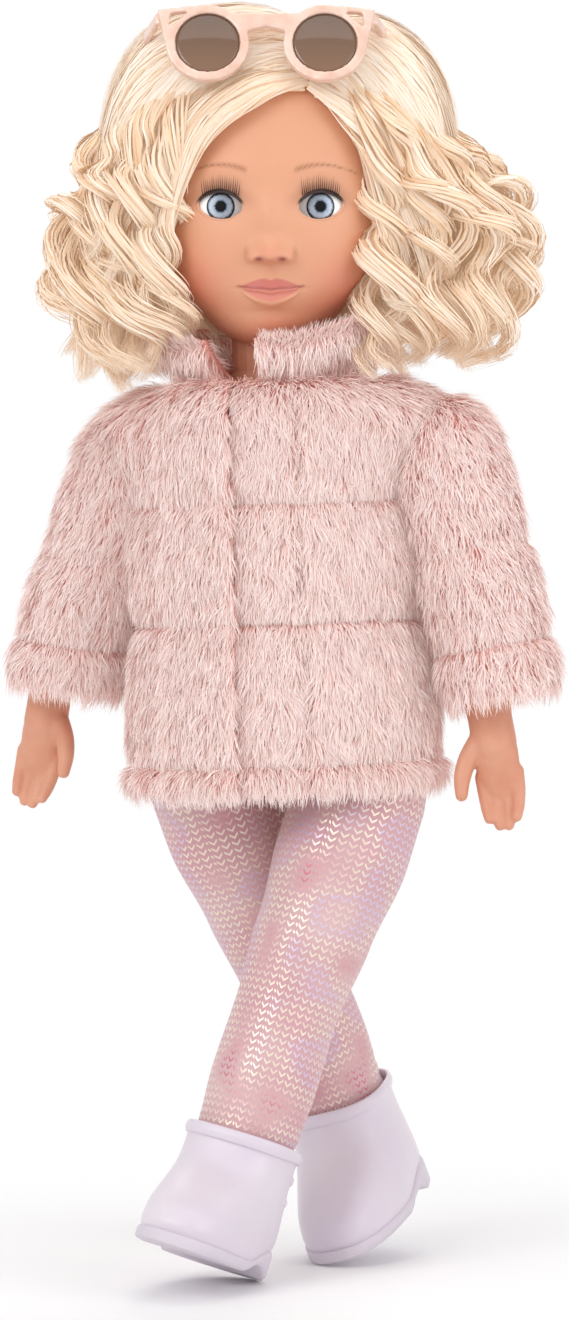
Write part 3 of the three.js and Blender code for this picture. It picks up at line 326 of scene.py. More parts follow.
FLOOR_HALF = 4.0  # metres
FADE_FROM, FADE_TO = 0.08, 0.36  # metres from the middle, over which the floor turns plain white
PAPER = (0.95, 0.95, 0.95, 1)
WHITE = (1, 1, 1, 1)
WORLD_LIGHT = 0.68
floor_corners = FLOOR_HALF * np.array([[-1, -1, 0], [1, -1, 0], [1, 1, 0], [-1, 1, 0]])
floor = mesh_object("floor", floor_corners, np.array([[0, 1, 2, 3]]))
floor_finish, tree, shader = principled("floor_paper", Base_Color=PAPER, Roughness=0.9)
place = add_node(tree, "ShaderNodeTexCoord")
reach = add_node(tree, "ShaderNodeVectorMath", operation="LENGTH")
fade = add_node(
    tree, "ShaderNodeMapRange", interpolation_type="SMOOTHSTEP", in_From_Min=FADE_FROM, in_From_Max=FADE_TO)
white = add_node(tree, "ShaderNodeEmission", in_Strength=1.0)
blend = add_node(tree, "ShaderNodeMixShader")
tree.links.new(place.outputs["Object"], reach.inputs[0])
tree.links.new(reach.outputs["Value"], fade.inputs["Value"])
tree.links.new(fade.outputs["Result"], blend.inputs[0])
tree.links.new(shader.outputs[0], blend.inputs[1])
tree.links.new(white.outputs[0], blend.inputs[2])
tree.links.new(blend.outputs[0], tree.nodes["Material Output"].inputs["Surface"])
floor.data.materials.append(floor_finish)

world = bpy.data.worlds.new("studio")
bpy.context.scene.world = world
world.use_nodes = True
tree = world.node_tree
soft = tree.nodes["Background"]
soft.inputs["Color"].default_value = WHITE
soft.inputs["Strength"].default_value = WORLD_LIGHT
seen = add_node(tree, "ShaderNodeBackground", in_Color=WHITE, in_Strength=1.0)
path = add_node(tree, "ShaderNodeLightPath")
mirrored = maths(tree, "MAXIMUM", path.outputs["Is Glossy Ray"], path.outputs["Is Transmission Ray"])
either = maths(tree, "MAXIMUM", path.outputs["Is Camera Ray"], mirrored)
choose = add_node(tree, "ShaderNodeMixShader")
tree.links.new(either, choose.inputs[0])
tree.links.new(soft.outputs[0], choose.inputs[1])
tree.links.new(seen.outputs[0], choose.inputs[2])
tree.links.new(choose.outputs[0], tree.nodes["World Output"].inputs["Surface"])


def soft_lamp(name, spot, aim, size, power):
    """A square area lamp of a given size at a spot, turned to face the aim point."""
    data = bpy.data.lights.new(name, "AREA")
    data.size = size
    data.energy = power
    lamp = bpy.data.objects.new(name, data)
    lamp.location = spot
    lamp.rotation_euler = (Vector(aim) - Vector(spot)).to_track_quat("-Z", "Y").to_euler()
    bpy.context.scene.collection.objects.link(lamp)


CHEST = (0, 0, 0.25)
soft_lamp("lamp_left", (-0.9, -1.3, 1.1), CHEST, 0.8, 8)
soft_lamp("lamp_right", (1.2, -0.9, 0.7), CHEST, 0.9, 5)
soft_lamp("lamp_back", (0.2, 1.2, 1.2), CHEST, 0.8, 5)
soft_lamp("lamp_top", (0, -0.4, 1.5), (0, 0, 0.4), 0.9, 2.8)
print("lamps", len(bpy.data.lights))

# %% [markdown]
# The head is one hollow vinyl casting. Its surface is star shaped: in every direction from the
# middle of the head there is one distance to the skin. That distance is a rounded box plus a few
# soft bumps for nose, lips, cheeks, chin and brow, so the whole face is one formula on a grid.
# The grid is crowded towards the front, where the eye looks first.

# %% Head surface
HEAD_CENTRE = np.array([0, -3.0, 58.0])  # from the neck pivot
HEAD_HALF_WIDTH = 43.0
FACE_DEPTH = 45.0
SKULL_DEPTH = 47.0
CROWN_HEIGHT = 57.0
JAW_HEIGHT = 55.0
HEAD_POWER = 2.25  # 2 gives an ellipsoid, a higher power is boxier
EYE_X = 17.5
EYE_Z = -7.0
# Forms of the face as x, z, width, height of the spread, and how far each stands out
FACE_FORMS = np.array([
    [0, -22.0, 4.8, 3.6, 7.0],
    [6.0, -23.5, 2.6, 2.4, 3.6],
    [0, -12, 4.4, 8, 2.2],
    [0, -48, 12, 7, 4.0],
    [24, -30, 12, 11, 3.0],
    [0, -36.0, 10, 5, 2.2],
    [EYE_X, EYE_Z, 9.5, 6.5, -2.2],
    [13, 7, 14, 6, 1.2],
    [0, -42.4, 7, 1.8, -1.2],
    [0, -28.9, 1.7, 2.2, -0.8],
])
MOUTH_Z = -35.8
LIP_HALF = 12.0
LIP_UP, LIP_DOWN = 3.9, 4.2
HALVINGS = 32  # steps of the search for a point of the skin


def smoothstep(value, low, high):
    """0 below low, 1 above high, and the cubic 3t^2 - 2t^3 between."""
    t = np.clip((value - low) / (high - low), 0, 1)
    return t * t * (3 - 2 * t)


def bell(value, middle, spread):
    """1 at the middle, falling to both sides as exp(-t^2), where t counts in spreads."""
    return np.exp(-(((value - middle) / spread) ** 2))


def superellipsoid(direction, width, depth, height, power):
    """Distance along a unit direction at which |x/w|^p + |y/d|^p + |z/h|^p comes to 1."""
    x, y, z = np.moveaxis(direction, -1, 0)
    total = np.abs(x / width) ** power + np.abs(y / depth) ** power + np.abs(z / height) ** power
    return total ** (-1 / power)


def head_radius(direction, grow=0.0, relief=1.0):
    """Distance from the head's middle to the skin: a superellipsoid plus the bumps of the face."""
    x, y, z = np.moveaxis(direction, -1, 0)
    width = HEAD_HALF_WIDTH * (1 - 0.2 * smoothstep(-z, 0.3, 1))
    depth = np.where(y < 0, FACE_DEPTH, SKULL_DEPTH)
    height = np.where(z > 0, CROWN_HEIGHT, JAW_HEIGHT)
    base = superellipsoid(direction, width, depth, height, HEAD_POWER)
    fx, fz = np.abs(x * base), z * base
    raised = np.zeros_like(base)
    for cx, cz, wide, tall, out in FACE_FORMS:
        raised += out * bell(fx, cx, wide) * bell(fz, cz, tall)
    raised += lip_relief(fx, fz)
    return base + grow + relief * smoothstep(-y, 0, 0.5) * raised


def lip_edges(x):
    """Heights of the lips' upper edge, parting and lower edge at a distance from the middle line."""
    share = np.clip(np.abs(x) / LIP_HALF, 0, 1)
    middle = MOUTH_Z + 1.2 * share ** 2 - 0.35 * bell(share, 0, 0.14)
    inner = np.clip(share / 0.88, 0, 1)
    upper = middle + LIP_UP * (1 - inner ** 1.7) - 0.5 * bell(share, 0, 0.1)
    lower = middle - LIP_DOWN * (1 - inner ** 2.3)
    return upper, middle, lower


def lip_relief(x, z):
    """Two soft rolls for the lips with a fine valley between them."""
    upper, middle, lower = lip_edges(x)
    on_upper = np.clip((z - middle) / np.maximum(upper - middle, 0.05), -1, 2)
    on_lower = np.clip((middle - z) / np.maximum(middle - lower, 0.05), -1, 2)
    roll = bell(on_upper, 0.5, 0.45) + 1.2 * bell(on_lower, 0.5, 0.42)
    fade = np.clip(1 - (np.abs(x) / (LIP_HALF * 1.05)) ** 3, 0, 1)
    valley_fade = np.clip(1 - (np.abs(x) / (LIP_HALF * 1.15)) ** 4, 0, 1)
    valley = 0.75 * bell(z, middle, 0.55) * valley_fade
    return 1.15 * roll * fade - valley


def star_directions(rows, columns, crowd):
    """Unit directions on a grid of polar and round angles, crowded towards the front and the mouth."""
    angles = np.linspace(0, np.pi, 2000)
    filled = np.cumsum(1 + 3.5 * crowd * bell(angles, 1.05, 0.5))
    polar = np.interp((np.arange(rows) + 0.5) / rows, filled / filled[-1], angles)
    turn = full_turn(columns)
    angle = (turn - crowd * np.sin(turn))[None, :]
    flat = np.sin(polar)[:, None]
    height = -np.cos(polar)[:, None] + 0 * angle
    return np.stack([flat * np.sin(angle), -flat * np.cos(angle), height], axis=-1)


def face_point(x, z):
    """Points of the skin at places of the front view, found by halving the span of depth they lie in."""
    x, z = np.broadcast_arrays(np.asarray(x, float), np.asarray(z, float))
    near, far = np.zeros(x.shape), np.full(x.shape, 2 * FACE_DEPTH)
    for _ in range(HALVINGS):
        middle = (near + far) / 2
        spot = np.stack([x, -middle, z], axis=-1)
        reach = np.linalg.norm(spot, axis=-1)
        inside = reach < head_radius(spot / reach[..., None])
        near, far = np.where(inside, middle, near), np.where(inside, far, middle)
    return np.stack([x, -near, z], axis=-1)


EYE_HALF_WIDTH = 7.9
EYE_UP = 5.3
EYE_DOWN = 4.8
EYE_POWER = 1.8  # below 2 the corners are pointed
EYE_SLANT = 0.6  # how much higher the outer corner is than the middle


def eye_reach(x, z):
    """How far a place of the front view is from an eye's middle, where 1 is the edge of its opening."""
    across = (np.abs(x) - EYE_X) / EYE_HALF_WIDTH
    up = z - EYE_Z - EYE_SLANT * across
    tall = up / np.where(up > 0, EYE_UP, EYE_DOWN)
    return (np.abs(across) ** EYE_POWER + np.abs(tall) ** EYE_POWER) ** (1 / EYE_POWER)


def eye_edge(side, angle, grow):
    """Places of the front view round one eye's opening, whose outline is grown by a factor."""
    c, s = np.cos(angle), np.sin(angle)
    across = np.sign(c) * np.abs(c) ** (2 / EYE_POWER)
    tall = np.sign(s) * np.abs(s) ** (2 / EYE_POWER) * np.where(s > 0, EYE_UP, EYE_DOWN)
    x = side * (EYE_X + grow * across * EYE_HALF_WIDTH)
    return x, EYE_Z + grow * (tall + EYE_SLANT * across)


HEAD_ROWS, HEAD_COLUMNS = 240, 260
NO_EYE = 9.0  # the reach given to points at the back, well outside both openings
directions = star_directions(HEAD_ROWS, HEAD_COLUMNS, 0.6)
skin = directions * head_radius(directions)[..., None]
skin = skin.reshape(-1, 3)
in_front = skin[:, 1] < 0
reach = np.where(in_front, eye_reach(skin[:, 0], skin[:, 2]), NO_EYE)
quads = grid_faces(HEAD_ROWS, HEAD_COLUMNS, True)
quads = quads[(reach[quads] >= 1).any(axis=1)]
# Points left just inside an opening move out to its edge, so the edge is clean
inner = np.flatnonzero(reach < 1)
side = np.sign(skin[inner, 0])
pull = 1 / np.maximum(reach[inner], 0.2)
moved_x = side * (EYE_X + (np.abs(skin[inner, 0]) - EYE_X) * pull)
moved_z = EYE_Z + (skin[inner, 2] - EYE_Z) * pull
skin[inner] = face_point(moved_x, moved_z)
head = mesh_object("head_skin", put(skin + HEAD_CENTRE, "head"), quads)
print("head points", len(skin), "eye edge points", len(inner))

# %% [markdown]
# A doll's face is sprayed and printed on: warm blush on the cheeks, rose lips and fine brown brows.
# Painted shade lies round the eyes, in the nostrils, and beside and under the nose. The paint is
# worked out once per point of the dense grid and kept as a colour attribute, so that it follows the
# skin whatever the light.

# %% Face paint


def paint_colour(red, green, blue):
    """Linear RGB of a paint, as an array."""
    return np.array(linear(red, green, blue)[:3])


SKIN = paint_colour(226, 165, 132)
BLUSH = paint_colour(226, 132, 112)
UPPER_LIP = paint_colour(204, 114, 106)
LOWER_LIP = paint_colour(222, 138, 124)
LIP_LINE = paint_colour(140, 60, 58)
BROW = paint_colour(146, 92, 58)
# A brown used as painted shade round the eyes and beside and under the nose
SHADE_PAINT = paint_colour(150, 92, 70)
LASH_LINE = paint_colour(58, 36, 28)
# Soft spots of paint: colour, strength, distance from the middle line, height, and two spreads
BLUSH_SPOTS = [
    (BLUSH, 0.55, 27, -34, 11, 11),  # cheeks
    (BLUSH, 0.3, 0, -25, 5, 4),  # tip of the nose
    (BLUSH, 0.35, 0, -50, 9, 5),  # chin
]
# Painted shade: dark in the nostrils, softer beside the wings of the nose and under it
NOSE_SHADE_SPOTS = [
    (LIP_LINE, 0.95, 4.2, -25.9, 1.6, 0.8),  # nostrils
    (SHADE_PAINT, 0.3, 8.6, -23.4, 0.9, 2.4),  # wings of the nose
    (SHADE_PAINT, 0.22, 0, -27, 6, 1.2),  # under the nose
]


def painted(base, colour, share):
    """Mixes a colour over a base by a share per point."""
    return base + (colour - base) * share[:, None]


def set_paint(piece, paint):
    """Keeps one linear colour per point of a piece as its face_paint attribute."""
    colours = np.concatenate([paint, np.ones((len(paint), 1))], axis=1).astype(np.float32)
    layer = piece.data.color_attributes.new("face_paint", "FLOAT_COLOR", "POINT")
    layer.data.foreach_set("color", colours.ravel())


def show_paint(tree, shader, *more):
    """Feeds the face_paint attribute into the shader's Base Color and any more sockets."""
    colour = add_node(tree, "ShaderNodeAttribute", attribute_name="face_paint")
    set_colour(tree, shader, colour.outputs["Color"], *more)


def spotted(paint, spots, x, z, front):
    """Paints soft spots on the front of the face, the same on both sides of the middle line."""
    for colour, strength, across, up, wide, tall in spots:
        paint = painted(paint, colour, strength * bell(np.abs(x), across, wide) * bell(z, up, tall) * front)
    return paint


def brow_share(x, z):
    """A thin arched stroke over each eye, thick towards the nose and fading outwards, with fine hairs."""
    across = np.abs(x) - 8.5
    arch = 5.2 + 2.4 * np.sin(np.pi * np.clip(across / 23, 0, 1) ** 0.9) - 0.03 * across
    thick = 0.95 * np.clip(1.1 - across / 24, 0.35, 1)
    ends = smoothstep(across, -1, 1) * (1 - smoothstep(across, 19, 24))
    hairs = 0.65 + 0.35 * np.sin(7 * np.abs(x) - 5 * z)
    return 0.85 * bell(z, arch, thick) * ends * hairs


x, z = skin[:, 0], skin[:, 2]
front = smoothstep(-skin[:, 1], 4, 22)
upper, middle, lower = lip_edges(x)
lips = smoothstep(z, lower - 0.25, lower + 0.35) * (1 - smoothstep(z, upper - 0.35, upper + 0.25))
lips *= 1 - smoothstep(np.abs(x), LIP_HALF - 1.2, LIP_HALF)
lip_line = bell(z, middle, 0.38) * (1 - smoothstep(np.abs(x), LIP_HALF - 1, LIP_HALF + 0.5))
edge = eye_reach(x, z)
lid_shade = bell(edge, 1.2, 0.4) * smoothstep(z, EYE_Z - 3, EYE_Z + 4)
lash_line = bell(edge, 1.0, 0.1) * smoothstep(z, EYE_Z, EYE_Z + 2.5)

paint = spotted(np.tile(SKIN, (len(skin), 1)), BLUSH_SPOTS, x, z, front)
paint = painted(paint, UPPER_LIP, 0.9 * lips * (z > middle) * front)
paint = painted(paint, LOWER_LIP, 0.9 * lips * (z <= middle) * front)
paint = painted(paint, LIP_LINE, 0.75 * lip_line * front)
paint = spotted(paint, NOSE_SHADE_SPOTS, x, z, front)
paint = painted(paint, BROW, brow_share(x, z) * front)
# Painted shade in a soft ring round each eye, stronger above it
paint = painted(paint, SHADE_PAINT, 0.3 * lid_shade * front)
paint = painted(paint, LASH_LINE, 0.9 * lash_line * front)
set_paint(head, paint)

VINYL_SCATTER = (1.0, 0.45, 0.3)  # how far red, green and blue light spread inside, as shares
vinyl, tree, shader = principled(
    "vinyl_face", Roughness=0.42, Subsurface_Weight=0.12, Subsurface_Scale=0.004,
    Subsurface_Radius=VINYL_SCATTER, Specular_IOR_Level=0.35)
show_paint(tree, shader)
grain_bump(tree, shader, 900, 0.06, 0.0004)
wear(head, "head", vinyl, ["head_shell"])

# %% [markdown]
# The rim of each eye opening is a small rolled edge of vinyl. It is a round profile carried along
# the edge of the opening, a little thicker on the upper lid, where it is painted dark as a lash line.

# %% Eyelid rims
RIM_POINTS, RIM_SIDES = 72, 10


def swept_ring(path, radius, normal):
    """A closed tube round a closed path: a circle of a radius per point, across the path and a normal."""
    along = unit(np.roll(path, -1, axis=0) - np.roll(path, 1, axis=0))
    out = unit(np.cross(along, normal))
    up = np.cross(out, along)
    angle = full_turn(RIM_SIDES)[None, :, None]
    circle = np.cos(angle) * out[:, None] + np.sin(angle) * up[:, None]
    rings = path[:, None] + radius[:, None, None] * circle
    rings = np.concatenate([rings, rings[:1]])
    return rings.reshape(-1, 3), grid_faces(len(rings), RIM_SIDES, True)


lid_vinyl, tree, shader = principled(
    "vinyl_lid", Roughness=0.4, Subsurface_Weight=0.1, Subsurface_Scale=0.003)
show_paint(tree, shader)
grain_bump(tree, shader, 900, 0.06, 0.0004)
for name, side in SIDES.items():
    angle = full_turn(RIM_POINTS)
    path = face_point(*eye_edge(side, angle, 1.02)) + np.array([0, 0.25, 0])
    radius = 0.45 + 0.35 * np.clip(np.sin(angle), 0, 1)
    points, faces = swept_ring(path, radius, np.array([0, -1.0, 0]))
    rim = mesh_object(f"{name}_eyelid_rim", put(points + HEAD_CENTRE, "head"), faces)
    dark = np.repeat(np.append(smoothstep(np.sin(angle), 0.05, 0.45), 0.0), RIM_SIDES)
    set_paint(rim, painted(np.tile(SKIN, (len(points), 1)), LASH_LINE, dark))
    wear(rim, "head", lid_vinyl)

# %% [markdown]
# Sleep eyes are glossy balls with a printed iris set into them. The ball is a plain sphere of
# rings; the iris is a shallow dome in front of it whose pattern runs out from the pupil. The iris
# keeps its own UV map, round angle and distance from the middle, so streaks and rim follow it.
# The top of the ball is painted as a lid, which shows as the eye rolls down. The ball gives off a
# little light of its own: painted light that lifts the shade the opening casts on its inner side.

# %% Eyeballs and irises
EYEBALL = 10.5
IRIS = 4.9
BALL_ROWS, BALL_COLUMNS = 40, 48
IRIS_ROWS, IRIS_COLUMNS = 18, 64
LID_EDGE = (4.6, 5.3)  # heights over the ball's middle between which its white turns to lid
EYE_WHITE = linear(246, 244, 241)


def dome(radius, spread, rows, columns):
    """Part of a sphere round the -y axis, from its pole out to an angle, with the share of the way out."""
    share = np.linspace(0, 1, rows)
    out = (spread * share)[:, None]
    turn = full_turn(columns)[None, :]
    flat = np.sin(out)
    spots = np.stack([flat * np.cos(turn), -np.cos(out) + 0 * turn, flat * np.sin(turn)], axis=-1)
    return radius * spots, share


def set_uv(piece, u, v, name="OFBake"):
    """A UV map with one place per point of the mesh."""
    corner = np.empty(len(piece.data.loops), dtype=np.int32)
    piece.data.loops.foreach_get("vertex_index", corner)
    layer = piece.data.uv_layers.new(name=name)
    layer.data.foreach_set("uv", np.stack([u[corner], v[corner]], axis=1).astype(np.float32).ravel())


# The eyes glow a little: painted light that brightens the white where the eye opening shades it
eye_gloss_and_glow = {"Roughness": 0.3, "Specular_IOR_Level": 0.3, "Emission_Strength": 0.16}
eye_white, tree, shader = principled("eye_white", Base_Color=EYE_WHITE, **eye_gloss_and_glow)
grain_bump(tree, shader, 300, 0.02, 0.0002)
eye_globe, tree, shader = principled("eye_globe", **eye_gloss_and_glow)
show_paint(tree, shader, "Emission Color")

iris_print, tree, shader = principled(
    "iris_print", Roughness=0.4, Specular_IOR_Level=0.1, Coat_Weight=0.2, Coat_Roughness=0.04)
_, outward = uv_sockets(tree)
spot = add_node(tree, "ShaderNodeUVMap", uv_map="OFBake")
stretch = add_node(tree, "ShaderNodeMapping", vector_type="POINT", in_Scale=(2.6, 0.3, 1.0))
streak = add_node(tree, "ShaderNodeTexNoise", in_Scale=9.0, in_Detail=4.0)
tree.links.new(spot.outputs["UV"], stretch.inputs["Vector"])
tree.links.new(stretch.outputs["Vector"], streak.inputs["Vector"])
wobble = maths(tree, "MULTIPLY_ADD", streak.outputs["Fac"], 0.22, outward)
iris_colour = ramp(tree, wobble, [
    (0.47, linear(6, 6, 7)), (0.5, linear(86, 98, 116)), (0.6, linear(164, 180, 200)),
    (0.86, linear(208, 216, 228)), (0.97, linear(122, 136, 156)), (1.0, linear(56, 66, 82))])
set_colour(tree, shader, iris_colour)

for name in SIDES:
    centre = pivots[f"{name}_eye_roll"]
    ball, _ = dome(EYEBALL, np.pi, BALL_ROWS, BALL_COLUMNS)
    faces = grid_faces(BALL_ROWS, BALL_COLUMNS, True)
    globe = merged(mesh_object(f"{name}_eye_globe", ball.reshape(-1, 3) * MM + centre, faces))
    spots = np.empty(3 * len(globe.data.vertices), dtype=np.float32)
    globe.data.vertices.foreach_get("co", spots)
    height = (spots.reshape(-1, 3)[:, 2].astype(float) - centre[2]) / MM
    white = np.tile(EYE_WHITE[:3], (len(height), 1))
    set_paint(globe, painted(white, SKIN, smoothstep(height, *LID_EDGE)))
    wear(globe, f"{name}_eye", eye_globe, [f"{name}_eyeball"])
    cap, share = dome(EYEBALL + 0.12, np.arcsin(IRIS / EYEBALL), IRIS_ROWS, IRIS_COLUMNS)
    cap[..., 1] -= 0.45 * (1 - share[:, None] ** 2)
    cap = np.concatenate([cap, cap[:, :1]], axis=1)
    columns = cap.shape[1]
    faces = grid_faces(IRIS_ROWS, columns, False)
    disc = mesh_object(f"{name}_iris_dome", cap.reshape(-1, 3) * MM + centre, faces)
    set_uv(disc, np.tile(np.linspace(0, 1, columns), IRIS_ROWS), np.repeat(share, columns))
    wear(disc, f"{name}_eye", iris_print, [f"{name}_iris"])

# %% [markdown]
# Lashes are a brush of fine tapered hairs fixed to the upper front of each ball, fanning up and out.
# A hair is a thin three-sided blade that bends upwards along its path. The helper takes a whole
# array of paths, so a brush is built in one call.

# %% Blades and lashes
BLADE_SIDES = 3


def blades(paths, width):
    """Tapered hairs along paths (hairs, steps, 3); returns points, faces and a share from root to tip.
    The ring at each step is a small triangle across the path, whose size falls to a point at the tip."""
    hairs, steps, _ = paths.shape
    along = unit(np.gradient(paths, axis=1))
    helper = np.where(np.abs(along[..., 2:]) < 0.9, np.array([0, 0, 1.0]), np.array([1.0, 0, 0]))
    out = unit(np.cross(along, helper))
    up = np.cross(out, along)
    share = np.linspace(0, 1, steps)
    thin = np.clip(1 - share ** 2.2, 0.04, 1)[None, :, None, None]
    angle = full_turn(BLADE_SIDES)[:, None]
    ring = np.cos(angle) * out[:, :, None] + np.sin(angle) * up[:, :, None]
    points = paths[:, :, None] + width / 2 * thin * ring
    faces = many_grids(hairs, steps, BLADE_SIDES, True)
    return points.reshape(-1, 3), faces, np.tile(np.repeat(share, BLADE_SIDES), hairs)


def hair_object(name, points, faces, share, tone):
    """A mesh of hairs with a UV map: a tone per hair across, and the share from root to tip along."""
    piece = mesh_object(name, points, faces)
    set_uv(piece, np.repeat(tone, len(points) // len(tone)), share)
    return piece


lash_fibre, tree, shader = principled("lash_fibre", Roughness=0.5)
tone, _ = uv_sockets(tree)
lash_colour = ramp(tree, tone, [(0.0, linear(34, 22, 18)), (1.0, linear(62, 40, 30))])
set_colour(tree, shader, lash_colour)

LASH_HAIRS, LASH_STEPS = 19, 8
LASH_RISE = 6.2
LASH_WIDTH = 0.42
LASH_SPREAD = 36  # degrees to each side
for name in SIDES:
    eye = take(pivots[f"{name}_eye_roll"], "head") - HEAD_CENTRE
    across = np.linspace(-LASH_SPREAD, LASH_SPREAD, LASH_HAIRS) + rng.uniform(-0.5, 0.5, LASH_HAIRS)
    across = np.radians(across)
    lift = np.radians(26 - 9 * (across / 0.6) ** 2)
    root = np.stack([np.sin(across) * np.cos(lift), -np.cos(across) * np.cos(lift), np.sin(lift)], axis=1)
    root = (EYEBALL * root + eye)[:, None]
    t = np.linspace(0, 1, LASH_STEPS)[None]
    rise = LASH_RISE * rng.uniform(0.85, 1.1, (LASH_HAIRS, 1)) * t ** 1.8
    x = root[..., 0] + 1.6 * np.sin(across)[:, None] * t
    z = root[..., 2] + rise
    skin_front = np.minimum(face_point(x, z)[..., 1] - 0.5 - 1.2 * t, root[..., 1])
    y = root[..., 1] + (skin_front - root[..., 1]) * smoothstep(t, 0, 0.35)
    points, faces, share = blades(np.stack([x, y, z], axis=-1), LASH_WIDTH)
    points = put(points + HEAD_CENTRE, "head")
    brush = hair_object(f"{name}_lash_brush", points, faces, share, rng.random(LASH_HAIRS))
    wear(brush, f"{name}_eye", lash_fibre, [f"{name}_eyelashes"])

# %% [markdown]
# The hair is rooted fibre, pale blond, parted over the doll's left brow and set in loose curls.
# Blender's own hair system is not kept by an export, so each fibre is a real flat ribbon along its
# own path. A smooth underlayer of the same colour fills the gaps, as the inner fibres do on the real
# doll. A little light of its own stands in for the light that real fibres scatter among each other.

# %% Hair colours
hair_fibre, tree, shader = principled(
    "hair_fibre", Roughness=0.45, Specular_IOR_Level=0.35, Emission_Strength=0.06)
tone, along = uv_sockets(tree)
fibre_colour = ramp(tree, maths(tree, "MULTIPLY_ADD", along, 0.2, tone), [
    (0.0, linear(232, 194, 150)), (0.3, linear(243, 213, 180)),
    (0.65, linear(249, 227, 203)), (1.0, linear(253, 240, 225))])
set_colour(tree, shader, fibre_colour, "Emission Color")

# The underlayer glows a little more than the fibres: painted light that lifts the shade in the gaps between
# the locks
under_hair, tree, shader = principled("under_hair", Roughness=0.6, Emission_Strength=0.1)
place = add_node(tree, "ShaderNodeTexCoord")
squeeze = add_node(tree, "ShaderNodeMapping", in_Scale=(4.0, 4.0, 0.5))
streaks = add_node(tree, "ShaderNodeTexNoise", in_Scale=60.0, in_Detail=5.0)
tree.links.new(place.outputs["Object"], squeeze.inputs["Vector"])
tree.links.new(squeeze.outputs["Vector"], streaks.inputs["Vector"])
under_colour = ramp(
    tree, streaks.outputs["Fac"], [(0.3, linear(234, 202, 164)), (0.7, linear(246, 221, 192))])
set_colour(tree, shader, under_colour, "Emission Color")

# %% [markdown]
# The underlayer is the skull's own formula grown by a few millimetres, with the faces in front of the
# face left out, and rounded masses at the sides and the back that fill the inside of the curls.

# %% Underlayer
FACE_WINDOW = np.array([
    [-27, -70], [-29, -36], [-34, -22], [-35, -6], [-27, 14], [-13, 27], [1, 33], [13, 35],
    [25, 25], [32, 14], [36, 2], [36, -36], [29, -70]])


def in_window(x, z):
    """True inside the face's outline, by counting the edges that a line to the right crosses."""
    inside = np.zeros(np.shape(x), dtype=bool)
    for (x0, z0), (x1, z1) in zip(FACE_WINDOW, np.roll(FACE_WINDOW, -1, axis=0)):
        cross = (z0 > z) != (z1 > z)
        at = x0 + (z - z0) * (x1 - x0) / (z1 - z0 if z1 != z0 else 1e-9)
        inside ^= cross & (x < at)
    return inside


def dome_radius(direction):
    """Distance from the head's middle to the combed hair: a superellipsoid, rounder behind."""
    x, y, _ = np.moveaxis(direction, -1, 0)
    width = np.where(x < 0, 59.0, 65.0)
    depth = np.where(y < 0, 43.0, 54.0)
    power = 3.2 - 0.9 * smoothstep(y, 0, 0.5)
    return superellipsoid(direction, width, depth, 66.0, power)


def off_the_brow(direction):
    """0 over the brow, where hair lies on the head, and 1 further back, where it stands off."""
    return smoothstep(direction[..., 1], -0.75, -0.35)


UNDER_ROWS, UNDER_COLUMNS = 80, 120
directions = star_directions(UNDER_ROWS, UNDER_COLUMNS, 0.3)
bare = head_radius(directions, 2.6, 0.0)
full = np.maximum(dome_radius(directions) - 4.5, bare)
swollen = smoothstep(directions[..., 2], -0.1, 0.5) * off_the_brow(directions)
cap = directions * (bare + (full - bare) * swollen)[..., None]
cap = cap.reshape(-1, 3)
quads = grid_faces(UNDER_ROWS, UNDER_COLUMNS, True)
middle = cap[quads].mean(axis=1)
lowest = np.where(middle[:, 1] < 8, -26, -50)  # the cap reaches further down behind the ears
shown = ~((middle[:, 1] < -4) & in_window(middle[:, 0], middle[:, 2])) & (middle[:, 2] > lowest)
under = mesh_object("hair_underlayer", put(cap + HEAD_CENTRE, "head"), quads[shown])
under.modifiers.new("wall", "SOLIDIFY").thickness = 0.8 * MM
wear(under, "head", under_hair)

MASS_ROWS, MASS_COLUMNS = 40, 64


def side_mass(name, centre, half, lumps):
    """An ellipsoid with soft waves, radius 1 + lumps times a product of sines."""
    polar = np.linspace(0, np.pi, MASS_ROWS)[:, None]
    turn = full_turn(MASS_COLUMNS)[None, :]
    ripple = 1 + lumps * np.sin(5 * polar + 2 * turn) * np.sin(3 * turn)
    flat = np.sin(polar)
    ball = np.stack([flat * np.cos(turn), flat * np.sin(turn), np.cos(polar) + 0 * turn], axis=-1)
    points = (ball * ripple[..., None] * np.array(half) + np.array(centre)).reshape(-1, 3)
    faces = grid_faces(MASS_ROWS, MASS_COLUMNS, True)
    piece = merged(mesh_object(name, put(points + HEAD_CENTRE, "head"), faces))
    wear(piece, "head", under_hair)


side_mass("hair_mass_right", (-52, 10, -16), (13, 22, 34), 0.08)
side_mass("hair_mass_left", (58, 10, -16), (18, 22, 34), 0.08)
side_mass("hair_mass_back", (0, 44, -28), (42, 8, 28), 0.06)

# %% [markdown]
# A lock is a twisted bundle of fibres. Its middle line is a smooth curve through a few guide points;
# towards the tip a helix is added whose radius grows from nothing, so the lock winds into a loose
# curl. Each fibre keeps its own place in the bundle's round cross-section and is a flat ribbon that
# faces away from the middle, so the light runs over the lock as over a satin cord.

# %% Locks and fibres
PARTING = np.array([[13, -34, 36.0], [10, -12, 66.0], [3, 34, 44.0]])  # hairline, top, back of the crown


